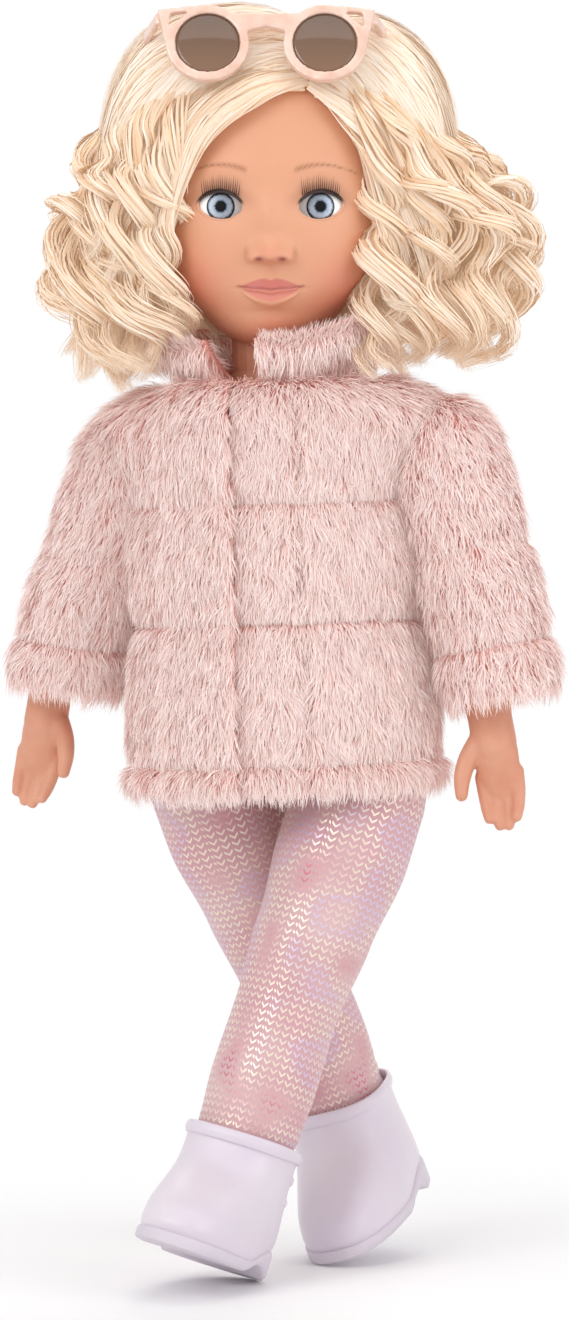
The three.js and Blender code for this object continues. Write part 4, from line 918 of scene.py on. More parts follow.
def spline(knots, steps):
    """Catmull-Rom curves through knots (curves, points, values), sampled at equal parameter steps."""
    before = 2 * knots[:, :1] - knots[:, 1:2]
    after = 2 * knots[:, -1:] - knots[:, -2:-1]
    full = np.concatenate([before, knots, after], axis=1)
    spans = knots.shape[1] - 1
    t = np.linspace(0, spans, steps)
    i = np.minimum(t.astype(int), spans - 1)
    u = (t - i)[None, :, None]
    p0, p1, p2, p3 = (full[:, i + k] for k in range(4))
    curve = 2 * p1 + (p2 - p0) * u
    curve += (2 * p0 - 5 * p1 + 4 * p2 - p3) * u ** 2
    curve += (3 * p1 - p0 - 3 * p2 + p3) * u ** 3
    return curve / 2


def bezier(first, middle, last, t):
    """A curve from the first point to the last, drawn towards the middle one: a quadratic in t."""
    return (1 - t) ** 2 * first + 2 * t * (1 - t) * middle + t ** 2 * last


def on_skull(spots, depth):
    """Spots pushed out or in along their direction to a depth of hair over the bare skull."""
    direction = unit(spots)
    return direction * (head_radius(direction, 0.0, 0.0)[..., None] + depth)


def parting(s):
    """The parting line over the skull: s 0 at the hairline and 1 at the back of the crown."""
    return bezier(*PARTING, np.asarray(s)[..., None])


def lock_fibres(knots, helix, count, girth, steps, flat=0.5):
    """Paths and facings of all the fibres of some locks.
    knots: guide points per lock; helix: start share, turns, radius and first phase per lock;
    girth: radius of the bundle; flat: how much the bundle is pressed against the head near its root."""
    line = spline(knots, steps)
    along = unit(np.gradient(line, axis=1))
    across = unit(np.cross(along, unit(line)))
    lift = np.cross(across, along)
    share = np.linspace(0, 1, steps)[None]
    start, turns, radius, phase = (helix[:, k, None] for k in range(4))
    free = smoothstep(share, start, start + 0.3)
    wound = phase + 2 * np.pi * turns * np.clip((share - start) / (1 - start), 0, 1)
    curl = (free * radius)[..., None]
    pick = np.repeat(np.arange(len(knots)), count)
    total = len(pick)
    wound = wound[pick] + rng.normal(0, 0.25, (total, 1)) * share
    curl = curl[pick] * rng.uniform(0.85, 1.15, (total, 1, 1))
    winding = np.cos(wound)[..., None] * across[pick] + 0.85 * np.sin(wound)[..., None] * lift[pick]
    middle = line[pick] + curl * winding
    reach = rng.random((total, 1)) ** 0.4
    angle = rng.uniform(0, 2 * np.pi, (total, 1)) + np.pi * (turns[pick] * share)
    angle = angle + 0.35 * np.sin(5 * share + rng.uniform(0, 6, (total, 1)))
    opening = 0.5 + 0.5 * smoothstep(share, 0, 0.3)
    closing = 1 - 0.55 * smoothstep(share, 0.72, 1.0)
    bulk = girth * reach * opening * closing
    press = flat + (0.9 - flat) * free[pick]
    facing = np.cos(angle)[..., None] * across[pick] + np.sin(angle)[..., None] * lift[pick]
    wide = (1.5 - 0.5 * free[pick]) * bulk * np.cos(angle)
    paths = middle + wide[..., None] * across[pick] + (press * bulk * np.sin(angle))[..., None] * lift[pick]
    waver = smoothstep(share, 0.4, 1.0) * np.sin(7 * share)
    stray = rng.normal(0, 1.1, (total, 1, 3)) * waver[..., None]
    return paths + stray, facing


def ribbons(paths, facing, width):
    """Flat ribbons along paths (fibres, steps, 3), turned to face a direction, that narrow to the tip."""
    fibres, steps, _ = paths.shape
    side = unit(np.cross(np.gradient(paths, axis=1), facing))
    share = np.linspace(0, 1, steps)
    thin = np.clip(1 - share ** 4, 0.1, 1)[None, :, None]
    half = width / 2 * rng.uniform(0.7, 1.3, (fibres, 1, 1)) * thin * side
    points = np.stack([paths - half, paths + half], axis=2)
    faces = many_grids(fibres, steps, 2, False)
    return points.reshape(-1, 3), faces, np.tile(np.repeat(share, 2), fibres)


def comb(name, fibres, width, tone, replaced=()):
    """A piece of hair from the paths and facings of its fibres round the head's middle."""
    paths, facing = fibres
    points, faces, share = ribbons(paths, facing, width)
    shade = np.clip(rng.normal(tone, 0.2, len(paths)), 0, 0.98)
    piece = hair_object(name, put(points + HEAD_CENTRE, "head"), faces, share, shade)
    wear(piece, "head", hair_fibre, replaced)


def helices(count, start, turns, radius):
    """Start share, turns, radius and first phase of each lock, varied a little."""
    return np.stack([
        rng.uniform(start - 0.06, start + 0.06, count), rng.uniform(turns - 0.4, turns + 0.4, count),
        rng.uniform(radius - 1.5, radius + 1.5, count), rng.uniform(0, 2 * np.pi, count)], axis=1)


# %% [markdown]
# The outline of the curls comes from the photograph: how far they reach to each side at a height,
# with the depth guessed from how such hair falls. Locks start under the combed crown and follow this
# hull in five layers, from the cheek in front round to the nape, and end at different heights.

# %% Side curls
LOCK_STEPS = 38
# Height, then the reach to the doll's right, to its left, to the front and to the back
HULL = np.array([
    [-68, 62, 70, 24, 48],
    [-60, 76, 86, 28, 52],
    [-45, 82, 93, 31, 55],
    [-29, 82, 95, 32, 56],
    [-10, 77, 96, 33, 56],
    [11, 74, 86, 35, 56],
    [23, 66, 70, 37, 56],
    [36, 58, 62, 39, 55],
    [49, 50, 53, 38, 52],
    [64, 34, 38, 28, 40]], float)
INSET = 8.0  # from the outline to the middle of the outer locks
HULL_AXIS = 32.0  # from the middle of the head to the axis of each side's hull
ROOT_HEIGHT = 44.0
DROP_HEIGHT = 22.0  # where the locks leave the crown
# Layers of locks: how many, their depth in the hull, the span of their tips, first and last angle
LAYERS = [
    (10, 1.0, (-66, -54), -1.3, 1.25),
    (8, 0.7, (-68, -56), -1.3, 1.25),
    (6, 1.04, (-36, -16), -1.1, 1.0),
    (5, 0.4, (-62, -50), -1.3, 1.0),
    (4, 0.12, (-58, -52), -0.6, 0.8),
]


def hull_point(side, z, phi, layer):
    """A point of a layer of the hull at height z; phi in radians: -1.5 in front, 0 beside, 1.5 behind."""
    z, phi, layer = np.broadcast_arrays(np.asarray(z, float), phi, layer)
    right, left, front, back = (np.interp(z, HULL[:, 0], HULL[:, k]) for k in range(1, 5))
    reach = (left if side > 0 else right) - INSET
    x = side * (HULL_AXIS + (reach - HULL_AXIS) * layer * np.cos(phi))
    y = np.where(phi < 0, front, back - 4) * np.sin(phi) * (0.75 + 0.25 * layer)
    return np.stack([x, y, z], axis=-1)


def side_locks(side, phi, layer, tip):
    """Guide points of locks on one side that follow the hull from under the crown to their tip heights."""
    count = len(phi)
    root = unit(hull_point(side, np.full(count, ROOT_HEIGHT), phi, 1.0))
    guides = [root * (dome_radius(root)[:, None] - 10.0)]
    for share in (0, 0.35, 0.7, 1.0):
        sway = 0.05 * rng.normal(size=count)
        guides.append(hull_point(side, DROP_HEIGHT - share * (DROP_HEIGHT - tip), phi + sway, layer))
    return np.stack(guides, axis=1)


def layer_of_locks(side, count, layer, tips, first, last):
    """Guide points of one layer of locks, spread from the front to the back with varied tips."""
    phi = np.linspace(first, last, count) + rng.uniform(-0.08, 0.08, count)
    return side_locks(side, phi, layer, rng.uniform(*tips, count))


for name, side in (("right", -1), ("left", 1)):
    knots = np.concatenate([layer_of_locks(side, *layer) for layer in LAYERS])
    helix = helices(len(knots), start=0.28, turns=1.9, radius=8.0)
    fibres = lock_fibres(knots, helix, count=78, girth=5.8, steps=LOCK_STEPS)
    comb(f"hair_curls_{name}", fibres, width=0.86, tone=0.5, replaced=[f"hair_{name}"])

# %% [markdown]
# Behind, two rows of locks fall from the crown to the nape.

# %% Back curls
# Rows of locks: how many, half their spread, how far behind the middle they hang, height of the tips
BACK_ROWS = [(9, 44, 54, -56), (8, 38, 47, -62)]
knots = []
for count, spread, depth, tip in BACK_ROWS:
    x = np.linspace(-spread, spread, count) + rng.uniform(-2, 2, count)
    turn = np.sqrt(np.clip(1 - (x / 64) ** 2, 0.2, 1))
    root = unit(np.stack([x * 0.6, np.full(count, 46.0), np.full(count, 36.0)], axis=1))
    root = root * (dome_radius(root)[:, None] - 4.0)
    levels = [np.stack([x * grow, depth * turn, z + rng.uniform(-3, 3, count)], axis=1)
              for grow, z in ((0.9, 12), (1.0, -14), (1.05, -38), (1.08, tip))]
    knots.append(np.stack([root, *levels], axis=1))
knots = np.concatenate(knots)
helix = helices(len(knots), start=0.35, turns=1.8, radius=6.2)
fibres = lock_fibres(knots, helix, count=92, girth=6.8, steps=LOCK_STEPS)
comb("hair_curls_back", fibres, width=0.78, tone=0.5, replaced=["hair_back"])

# %% [markdown]
# Over the crown the fibres lie close together, combed from the parting to each side in flat strands.
# They rise from the parting to the full dome of the hair and end among the curls. Each ribbon lies
# flat on the slope of this dome, so that the crown catches the light. The front locks sweep across
# the brow in an arch and flip outwards beside the cheek.

# %% Crown and fringe
STRANDS = 22  # on each side
CROWN_FIBRES, CROWN_STEPS = 3000, 14  # fibres on each side and points along each


def crown_radius(direction, valley=0.0):
    """Distance of the crown's surface: the bare head in front, swelling to the dome of the hair."""
    bare = head_radius(direction, 2.0, 0.0)
    return bare + (np.maximum(dome_radius(direction) - bare, 1.5) - valley) * off_the_brow(direction)


def crown_point(direction):
    """A point of the crown's surface in a direction."""
    return direction * crown_radius(direction)[..., None]


def crown_fibres(count, side, steps):
    """Fibres from the parting to one side: directions eased along an arch, laid on the dome of the hair."""
    s = rng.random(count)
    strand = (np.floor(s * STRANDS) + 0.5) / STRANDS
    place = (s - strand) * STRANDS * 2
    t = np.linspace(0, 1, steps)[None, :, None]
    s = (strand + (s - strand) * 0.9)[:, None, None]
    root = unit(parting(s[..., 0, 0]) + rng.normal(0, 0.5, (count, 3)))[:, None]
    front = np.array([side * 39.0, -31, 0])
    ear = np.array([side * 66.7, 0, 6.9])
    back = np.array([side * 3.0, 58, 2])
    drop = rng.uniform(-30, 12, (count, 1, 1))
    end = unit(bezier(front, ear, back, s) + np.array([0, 0, 1.0]) * drop)
    arch = (root + end) / 2 + np.array([side * 0.24, -0.16, 0.44]) * (1 - s)
    line = unit(bezier(root, arch, end, t))
    along = t[..., 0]
    valley = 3.0 * (1 - smoothstep(along, 0.0, 0.25))
    ridge = 1.7 * (1 - place[:, None] ** 2) * smoothstep(along, 0.02, 0.2)
    swing = (0.8 + 1.8 * smoothstep(along, 0.55, 1.0)) * smoothstep(along, 0.0, 0.35)
    wave = swing * np.sin(9 * along + 40 * strand[:, None]) * off_the_brow(line)
    depth = rng.uniform(-1.6, 0.4, (count, 1))
    paths = line * (crown_radius(line, valley) + ridge + wave + depth)[..., None]
    beside = unit(np.cross(line, np.gradient(line, axis=1)))
    slope = crown_point(unit(line + 0.02 * beside)) - crown_point(line)
    return paths, unit(np.cross(np.gradient(paths, axis=1), slope))


halves = [crown_fibres(CROWN_FIBRES, side, CROWN_STEPS) for side in (-1, 1)]
crown = [np.concatenate(pair) for pair in zip(*halves)]
# The crown takes a lighter tone than the curls: painted light, so that the top of the head reads brightly
# lit
comb("hair_crown_fibres", crown, width=0.72, tone=0.7, replaced=["hair_crown"])

fringe_knots = np.array([
    [[13, -40, 40], [-8, -44, 34], [-25, -38, 18], [-37, -31, -6], [-46, -30, -20], [-60, -30, -28]],
    [[13, -38, 42], [-10, -42, 38], [-28, -35, 22], [-40, -28, -2], [-52, -26, -14], [-66, -24, -18]],
    [[13, -40, 40], [-6, -44, 33], [-23, -39, 17], [-36, -33, -8], [-38, -34, -26], [-44, -32, -44]],
    [[15, -40, 38], [27, -40, 28], [36, -34, 12], [41, -30, -8], [44, -30, -30], [52, -28, -46]],
    [[15, -39, 40], [29, -38, 30], [39, -31, 14], [46, -26, -6], [54, -26, -20], [66, -26, -24]]], float)
fringe_depth = np.array([3.0, 4.5, 5.5, 6.5])  # of hair over the skull at the first four guide points
fringe_knots[:, :4] = on_skull(fringe_knots[:, :4], fringe_depth[None, :, None])
fringe_helix = np.array([
    [0.62, 0.9, 5, 3.4], [0.6, 1.0, 6, 3.0], [0.6, 1.2, 4, 1.0], [0.6, 1.3, 5, 0.5], [0.6, 1.0, 6, 0.0]])
fibres = lock_fibres(fringe_knots, fringe_helix, count=130, girth=5.0, steps=LOCK_STEPS, flat=0.3)
comb("hair_fringe", fibres, width=0.6, tone=0.62)

# %% [markdown]
# The jacket is long-pile faux fur on a woven ground, lightly padded and quilted in broad rows. Under
# the pile each panel is a shallow cushion, drawn in along the seams. It could be blown up with cloth
# simulation, but the pile hides the ground, so its crown is written as a formula: a half sine
# between two seams.

# %% Jacket ground
JACKET_HALF_WIDTH = 51.0
JACKET_HALF_DEPTH = 41.0
NECKLINE = 25.0
HEM, HEM_SEAM, WAIST_SEAM, CHEST_SEAM, COLLAR_SEAM = -13.0, -5.0, 46.0, 88.0, 131.0
QUILT_LINES = np.array([HEM, HEM_SEAM, WAIST_SEAM, CHEST_SEAM, COLLAR_SEAM])
QUILT_SWELL = 3.2
SKIRT_FLARE = 5.0
SHOULDER_SWELL = 15.0
SHOULDER_HEIGHT, SHOULDER_SPREAD = 117.0, 12.0
SHOULDER_POWER = 4.5  # a high power keeps the chest full up to the shoulder
TUCKS = np.array([-31.5, -43.0, -56.0, 24.0])  # angles of the stitched tucks, the first beside the placket
TUCK_DEPTH = 2.4
TUCK_SPREAD = 1.5  # degrees


def crown_between(z, lines, power=0.6):
    """0 on every seam line and 1 midway between two lines: a half sine raised to a power."""
    row = np.clip(np.searchsorted(lines, z, side="right"), 1, len(lines) - 1)
    low, high = lines[row - 1], lines[row]
    share = np.clip((z - low) / (high - low), 0, 1)
    return np.sin(np.pi * share) ** power


def tuck_depth(angle, z):
    """How far the vertical tucks draw the ground in: narrow valleys that fade out at the quilting lines."""
    valleys = bell(angle[..., None], TUCKS, TUCK_SPREAD)
    fade = crown_between(z, QUILT_LINES, 0.5)
    return TUCK_DEPTH * (valleys[..., 0] + fade * valleys[..., 1:].sum(axis=-1))


def round_points(width, depth, turn, z):
    """Points on ellipses round the upright axis; the turn is in radians, from the front to the left."""
    width, depth, turn, z = np.broadcast_arrays(width, depth, turn, z)
    return np.stack([width * np.sin(turn), -depth * np.cos(turn), z], axis=-1)


def jacket_points(angle, z, inset):
    """The jacket's surface round the body: an ellipse that closes in to the neck above and flares
    below, swelling between the quilting lines and out over the shoulders. The angle is in degrees,
    from the front round to the doll's left."""
    angle, z = np.broadcast_arrays(np.asarray(angle, float), np.asarray(z, float))
    rise = np.clip((z - CHEST_SEAM) / (COLLAR_SEAM - CHEST_SEAM), 0, 1)
    close = 1 - np.maximum(0, 1 - rise ** SHOULDER_POWER) ** (1 / SHOULDER_POWER)
    drop = np.clip((WAIST_SEAM - z) / (WAIST_SEAM - HEM), 0, 1)
    swell = QUILT_SWELL * crown_between(z, QUILT_LINES) * (1 - 0.5 * np.maximum(close, drop))
    grow = swell + SKIRT_FLARE * drop - inset - tuck_depth(angle, z)
    turn = np.radians(angle)
    shoulder = SHOULDER_SWELL * bell(z, SHOULDER_HEIGHT, SHOULDER_SPREAD) * np.sin(turn) ** 6
    width = JACKET_HALF_WIDTH + (NECKLINE - JACKET_HALF_WIDTH) * close + grow + shoulder
    depth = JACKET_HALF_DEPTH + (NECKLINE - JACKET_HALF_DEPTH) * close + grow
    return round_points(width, depth, turn, z)


def slab(outer, inner):
    """Points and quads of a closed shell between two grids of one size, walled along their edges."""
    rows, columns, _ = outer.shape
    base = rows * columns
    front = grid_faces(rows, columns, False)
    back = front[:, ::-1] + base
    index = np.arange(base).reshape(rows, columns)
    rim = np.concatenate([index[0, :-1], index[:-1, -1], index[-1, :0:-1], index[:0:-1, 0]])
    after = np.roll(rim, -1)
    walls = np.stack([after, rim, rim + base, after + base], axis=1)
    points = np.concatenate([outer.reshape(-1, 3), inner.reshape(-1, 3)])
    return points, np.concatenate([front, back, walls])


fur_ground, tree, shader = principled("fur_ground", Roughness=0.85, Sheen_Weight=0.3)
weave = object_noise(tree, 260.0, 3.0)
ground_colour = ramp(tree, weave, [(0.3, linear(222, 138, 122)), (0.7, linear(240, 170, 156))])
set_colour(tree, shader, ground_colour)
bump(tree, shader, weave, 0.4, 0.0006)

PLACKET_LOW, PLACKET_HIGH = -29.0, -3.0
PLACKET_RISE = -4.0  # an inset below nothing: the placket stands out over the front
SKIRT_TOP = WAIST_SEAM - 0.4
BODY_PADDING, SKIRT_PADDING = 5.4, 2.0
# First and last angle, bottom, top, and the inset of the padding's inner side
PANELS = {
    "jacket_back": (90.6, 269.4, WAIST_SEAM, COLLAR_SEAM, BODY_PADDING),
    "jacket_skirt_back": (90.6, 269.4, HEM, SKIRT_TOP, SKIRT_PADDING),
    "jacket_front_left": (PLACKET_HIGH + 0.6, 89.4, WAIST_SEAM, COLLAR_SEAM, BODY_PADDING),
    "jacket_skirt_front_left": (PLACKET_HIGH + 0.6, 89.4, HEM, SKIRT_TOP, SKIRT_PADDING),
    "jacket_front_right": (-89.4, PLACKET_HIGH - 0.6, WAIST_SEAM, COLLAR_SEAM, BODY_PADDING),
    "jacket_skirt_front_right": (-89.4, PLACKET_HIGH - 0.6, HEM, SKIRT_TOP, SKIRT_PADDING),
}
PANEL_ROWS, PANEL_COLUMNS = 40, 90
PILE_SEAT = 0.8  # ground under the mean surface of the pile


def gives_way(piece):
    """Gives a piece its own copy of its mesh."""
    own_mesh(piece)


for node, (low, high, bottom, top, padding) in PANELS.items():
    turn = np.linspace(low, high, PANEL_COLUMNS)[None, :]
    level = np.linspace(bottom, top, PANEL_ROWS)[:, None]
    points, faces = slab(jacket_points(turn, level, PILE_SEAT), jacket_points(turn, level, padding))
    panel = merged(mesh_object(f"{node}_ground", put(points, "torso"), faces))
    wear(panel, "torso", fur_ground, [node])
    if node == "jacket_skirt_front_left":
        gives_way(panel)

turn = np.linspace(PLACKET_LOW, PLACKET_HIGH, 10)[None, :]
level = np.linspace(HEM, COLLAR_SEAM, 80)[:, None]
points, faces = slab(jacket_points(turn, level, PLACKET_RISE), jacket_points(turn, level, -0.4))
placket = merged(mesh_object("jacket_placket_ground", put(points, "torso"), faces))
wear(placket, "torso", fur_ground, ["jacket_placket"])


def collar_points(angle, share, inset):
    """A stand collar round the neck: low at the throat, higher at the nape, leaning out as it rises."""
    angle, share = np.broadcast_arrays(np.asarray(angle, float), np.asarray(share, float))
    turn = np.radians(angle)
    nape = smoothstep(-np.cos(turn), -1, -0.3)
    height = 14 + 7 * nape
    radius = NECKLINE + 17 * share + 2.5 * np.sin(np.pi * share) - inset
    return round_points(radius, radius, turn, COLLAR_SEAM + 0.4 + height * share)


COLLAR_SPAN = (PLACKET_HIGH + 15, PLACKET_HIGH + 345)
COLLAR_TALL = 24.0  # along its slope at the back
COLLAR_SEAT, COLLAR_PADDING = 0.6, 3.6
turn = np.linspace(*COLLAR_SPAN, 60)[None, :]
share = np.linspace(0, 1, 12)[:, None]
points, faces = slab(collar_points(turn, share, COLLAR_SEAT), collar_points(turn, share, COLLAR_PADDING))
collar = merged(mesh_object("jacket_collar_ground", put(points, "torso"), faces))
wear(collar, "torso", fur_ground, ["jacket_collar"])

# %% [markdown]
# A sleeve is a padded tube with its own quilting rows. It is round the arm's axis, so it rides with
# the arm; the rounded top closes over the shoulder.

# %% Sleeves
SLEEVE_LENGTHS = {"left": 88.0, "right": 81.0}  # the right one looks shorter in the photograph
SLEEVE_RADIUS = 19.3
SLEEVE_HEADS = {"left": -4.0, "right": 12.0}  # how far the top of a sleeve is drawn in to the body
SLEEVE_PADDING = 5.6
SLEEVE_ROWS, SLEEVE_COLUMNS = 40, 40


def sleeve_lines(name):
    """Heights of the quilting seams of a sleeve: its cuff, two rows and the shoulder."""
    return -SLEEVE_LENGTHS[name] * np.array([1.0, 0.8, 0.4, 0.0])


def sleeve_points(name, angle, z, inset):
    """The sleeve's surface: a dome above the shoulder pivot and a quilted tube below it."""
    angle, z = np.broadcast_arrays(np.asarray(angle, float), np.asarray(z, float))
    tube = SLEEVE_RADIUS + 1.6 * crown_between(np.minimum(z, -TINY), sleeve_lines(name), 0.7)
    cap = np.sqrt(np.clip(SLEEVE_RADIUS ** 2 - np.maximum(z, 0) ** 2, 0, None))
    radius = np.maximum(np.where(z > 0, cap, tube) - inset, 0.02)
    drawn_in = SLEEVE_HEADS[name] * smoothstep(z, -75, 5)
    return round_points(radius, radius, np.radians(angle), z) + drawn_in[..., None] * np.array([1.0, 0, 0])


for name in SIDES:
    turn = np.linspace(0, 360, SLEEVE_COLUMNS, endpoint=False)[None, :]
    tube_levels = np.linspace(-SLEEVE_LENGTHS[name], 0, SLEEVE_ROWS)
    cap_levels = SLEEVE_RADIUS * np.sin(np.linspace(0.1, 1.5, 14))
    level = np.concatenate([tube_levels, cap_levels])[:, None]
    outer = sleeve_points(name, turn, level, PILE_SEAT)
    inner = sleeve_points(name, turn, level[:SLEEVE_ROWS], SLEEVE_PADDING)[::-1]
    rings = np.concatenate([inner, outer])
    closed = np.concatenate([rings, rings[:1] * 0 + outer[-1:].mean(axis=1, keepdims=True)])
    faces = grid_faces(len(closed), SLEEVE_COLUMNS, True)
    sleeve = merged(mesh_object(f"{name}_sleeve_ground", put(closed.reshape(-1, 3), f"{name}_arm"), faces))
    wear(sleeve, f"{name}_arm", fur_ground, [f"{name}_sleeve"])

# %% [markdown]
# The pile itself is many thousands of fine ribbons. Each root lies at a random place of the panel;
# the ribbon rises a little and then falls downwards, as long fur does. Neighbours share a slow
# wander of direction, so they gather in soft tufts, and they stop short of a quilting line, which
# leaves the stitched rows visible; on the sleeves and the placket only the lowest row stays free.
# The tone runs from coral at the root to pale pink at the tip, and a little light of its own stands
# in for the light that real pile scatters.

# %% Fur colours
fur_pile, tree, shader = principled(
    "fur_pile", Roughness=0.7, Sheen_Weight=0.6, Sheen_Roughness=0.5, Sheen_Tint=linear(255, 226, 218),
    Emission_Strength=0.045)
tone, along = uv_sockets(tree)
pile_colour = ramp(tree, maths(tree, "MULTIPLY_ADD", tone, 0.45, along), [
    (0.0, linear(230, 161, 150)), (0.3, linear(241, 197, 189)),
    (0.7, linear(248, 221, 215)), (1.0, linear(252, 237, 233))])
set_colour(tree, shader, pile_colour, "Emission Color")

# %% Fur pile
FUR_STEPS = 3
FUR_WIDTH = 0.38
NO_LINE = 1e3  # a drop so long that it limits no hair


def tuft_field(u, v, seed):
    """A slow wander, mostly within -1 and 1, over two lengths in millimetres: sines of random heading."""
    local = np.random.default_rng(seed)
    total = np.zeros_like(u)
    for _ in range(7):
        heading = local.uniform(0, 2 * np.pi)
        step = local.uniform(0.25, 0.9)
        total += np.sin(step * (u * np.cos(heading) + v * np.sin(heading)) + local.uniform(0, 6.28))
    return total / 4


def pile(surface, angle, z, lines, length, rise, seed, girth):
    """Paths and facings of fur rooted on surface(angle, z), in the surface's own millimetres.
    A hair rises at a slant, bends over and falls; the free drop to the next line limits its length."""
    root = surface(angle, z)
    ahead = surface(angle + 1.0, z) - root
    above = surface(angle, z + 0.5) - root
    ahead, above = unit(ahead), unit(above)
    normal = unit(np.cross(ahead, above))
    count = len(root)
    size = length * rng.uniform(0.65, 1.15, count)
    lines = np.asarray(lines)
    below = np.where(lines[None] <= z[:, None], z[:, None] - lines[None], NO_LINE).min(axis=1)
    size = np.minimum(size, below + rng.uniform(1.0, 3.0, count))
    round_u = girth * np.radians(angle)
    sway = 0.42 * tuft_field(round_u, z, seed) + rng.normal(0, 0.24, count)
    lift = rise * (1 + 0.35 * tuft_field(round_u, z, seed + 1) + rng.normal(0, 0.25, count))
    lift *= np.clip(size / length, 0.35, 1)
    fall = -above * np.cos(sway)[:, None] + ahead * np.sin(sway)[:, None]
    t = np.linspace(0, 1, FUR_STEPS)[None, :, None]
    rising = (lift[:, None, None] * (1.7 * t - 0.8 * t ** 2)) * normal[:, None]
    falling = (size[:, None, None] * (0.55 * t + 0.45 * t ** 2)) * fall[:, None]
    facing = unit(normal + rng.normal(0, 0.35, (count, 3)))[:, None] + 0 * rising
    return root[:, None] + rising + falling, facing


def fur(name, hairs, place):
    """A piece of fur from the paths and facings of its hairs on a body's own axes."""
    points, faces, share = ribbons(*hairs, FUR_WIDTH)
    piece = hair_object(name, put(points, place), faces, share, rng.random(len(hairs[0])))
    return wear(piece, place, fur_pile)


FUR_COUNTS = {
    "jacket_back": 20500, "jacket_skirt_back": 14500,
    "jacket_front_left": 25000, "jacket_skirt_front_left": 18000,
    "jacket_front_right": 14000, "jacket_skirt_front_right": 11000}
PLACKET_HAIRS = 13500
SLEEVE_HAIRS = 27500
FUR_LENGTH = 7.5
FUR_RISE = 3.0
JACKET_GIRTH = 46.0
STITCHED = QUILT_LINES[QUILT_LINES > HEM]
for number, (node, (low, high, bottom, top, _)) in enumerate(PANELS.items()):
    count = FUR_COUNTS[node]
    angle = rng.uniform(low, high, count)
    z = rng.uniform(bottom, top - 0.6, count)
    bare = (tuck_depth(angle, z) > 0.5 * TUCK_DEPTH) & (rng.random(count) < 0.85)
    hairs = pile(
        lambda a, h: jacket_points(a, h, PILE_SEAT), angle[~bare], z[~bare], STITCHED,
        FUR_LENGTH, FUR_RISE, seed=number, girth=JACKET_GIRTH)
    coat = fur(f"{node}_fur", hairs, "torso")
    if node == "jacket_skirt_front_left":
        gives_way(coat)

PAST_EDGE = 1.6  # degrees that hairs stand past an edge, so that they cover its wall
angle = rng.uniform(PLACKET_LOW - PAST_EDGE, PLACKET_HIGH + PAST_EDGE, PLACKET_HAIRS)
z = rng.uniform(HEM, COLLAR_SEAM - 0.6, PLACKET_HAIRS)
hairs = pile(
    lambda a, h: jacket_points(a, h, PLACKET_RISE), angle, z, [HEM_SEAM],
    FUR_LENGTH, rise=3.4, seed=20, girth=JACKET_GIRTH)
fur("jacket_placket_fur", hairs, "torso")


def collar_coat(count, span, lowest, inset, side, length, rise, seed):
    """Hairs over the collar from a share of its height up.
    Side -1 faces the neck, and hairs of a length below 0 point upwards."""
    angle = side * rng.uniform(*span, count)
    height = COLLAR_TALL * rng.uniform(lowest, 1, count)
    return pile(
        lambda a, h: collar_points(side * a, h / COLLAR_TALL, inset), angle, height, [-NO_LINE],
        length, rise, seed, NECKLINE)


covered = (COLLAR_SPAN[0] - PAST_EDGE, COLLAR_SPAN[1] + PAST_EDGE)
# Outside, inside and crest
coats = [
    collar_coat(11000, covered, 0.05, COLLAR_SEAT, 1, length=7.5, rise=6.0, seed=21),
    collar_coat(6000, covered, 0.3, COLLAR_PADDING - 0.2, -1, length=5.0, rise=3.0, seed=22),
    collar_coat(6000, COLLAR_SPAN, 0.7, COLLAR_SEAT, 1, length=-5.5, rise=3.5, seed=23)]
fur("jacket_collar_fur", [np.concatenate(group) for group in zip(*coats)], "torso")

for number, name in enumerate(SIDES):
    angle = rng.uniform(0, 360, SLEEVE_HAIRS)
    z = rng.uniform(-SLEEVE_LENGTHS[name], SLEEVE_RADIUS * 0.96, SLEEVE_HAIRS)
    hairs = pile(
        lambda a, h: sleeve_points(name, a, h, PILE_SEAT), angle, z, sleeve_lines(name)[1:2],
        FUR_LENGTH, FUR_RISE, seed=30 + number, girth=SLEEVE_RADIUS)
    fur(f"{name}_sleeve_fur", hairs, f"{name}_arm")

# %% [markdown]
# Leggings are a stretch knit printed with rows of small foil chevrons, whose tint wanders over the
# cloth. The cloth is a smooth sleeve along the leg's axis, full at the thigh, slim at the knee and
# ankle, with a few shallow creases where it gathers above the boot and at the knee. Its UV map is in
# millimetres, round the leg and along it, so that the print has its real size.

# %% Legging shape
LEGGING_END = -158.0
LEGGING_TOP = 17.0
# Height along the leg and radius there
LEG_STATIONS = np.array([
    [LEGGING_END, 17.4], [-142, 17.9], [-122, 19.0], [-96, 18.4],
    [-66, 20.8], [-36, 23.8], [-16, 23.6], [0, 21.6]])
LEG_MEAN_RADIUS = 19.0  # turns angles into millimetres round the leg
LEG_COLUMNS = 97  # the last one lies on the first, where the print's UV map starts again
THIGH_SHIFT = 2.4  # the thighs are fuller on their outer sides


def eased(at, stations):
    """Values along a list of stations, eased between neighbours with the cubic 3t^2 - 2t^3."""
    row = np.clip(np.searchsorted(stations[:, 0], at, side="right"), 1, len(stations) - 1)
    low, high = stations[row - 1], stations[row]
    t = np.clip((at - low[..., 0]) / (high[..., 0] - low[..., 0]), 0, 1)
    return low[..., 1] + (high[..., 1] - low[..., 1]) * t * t * (3 - 2 * t)


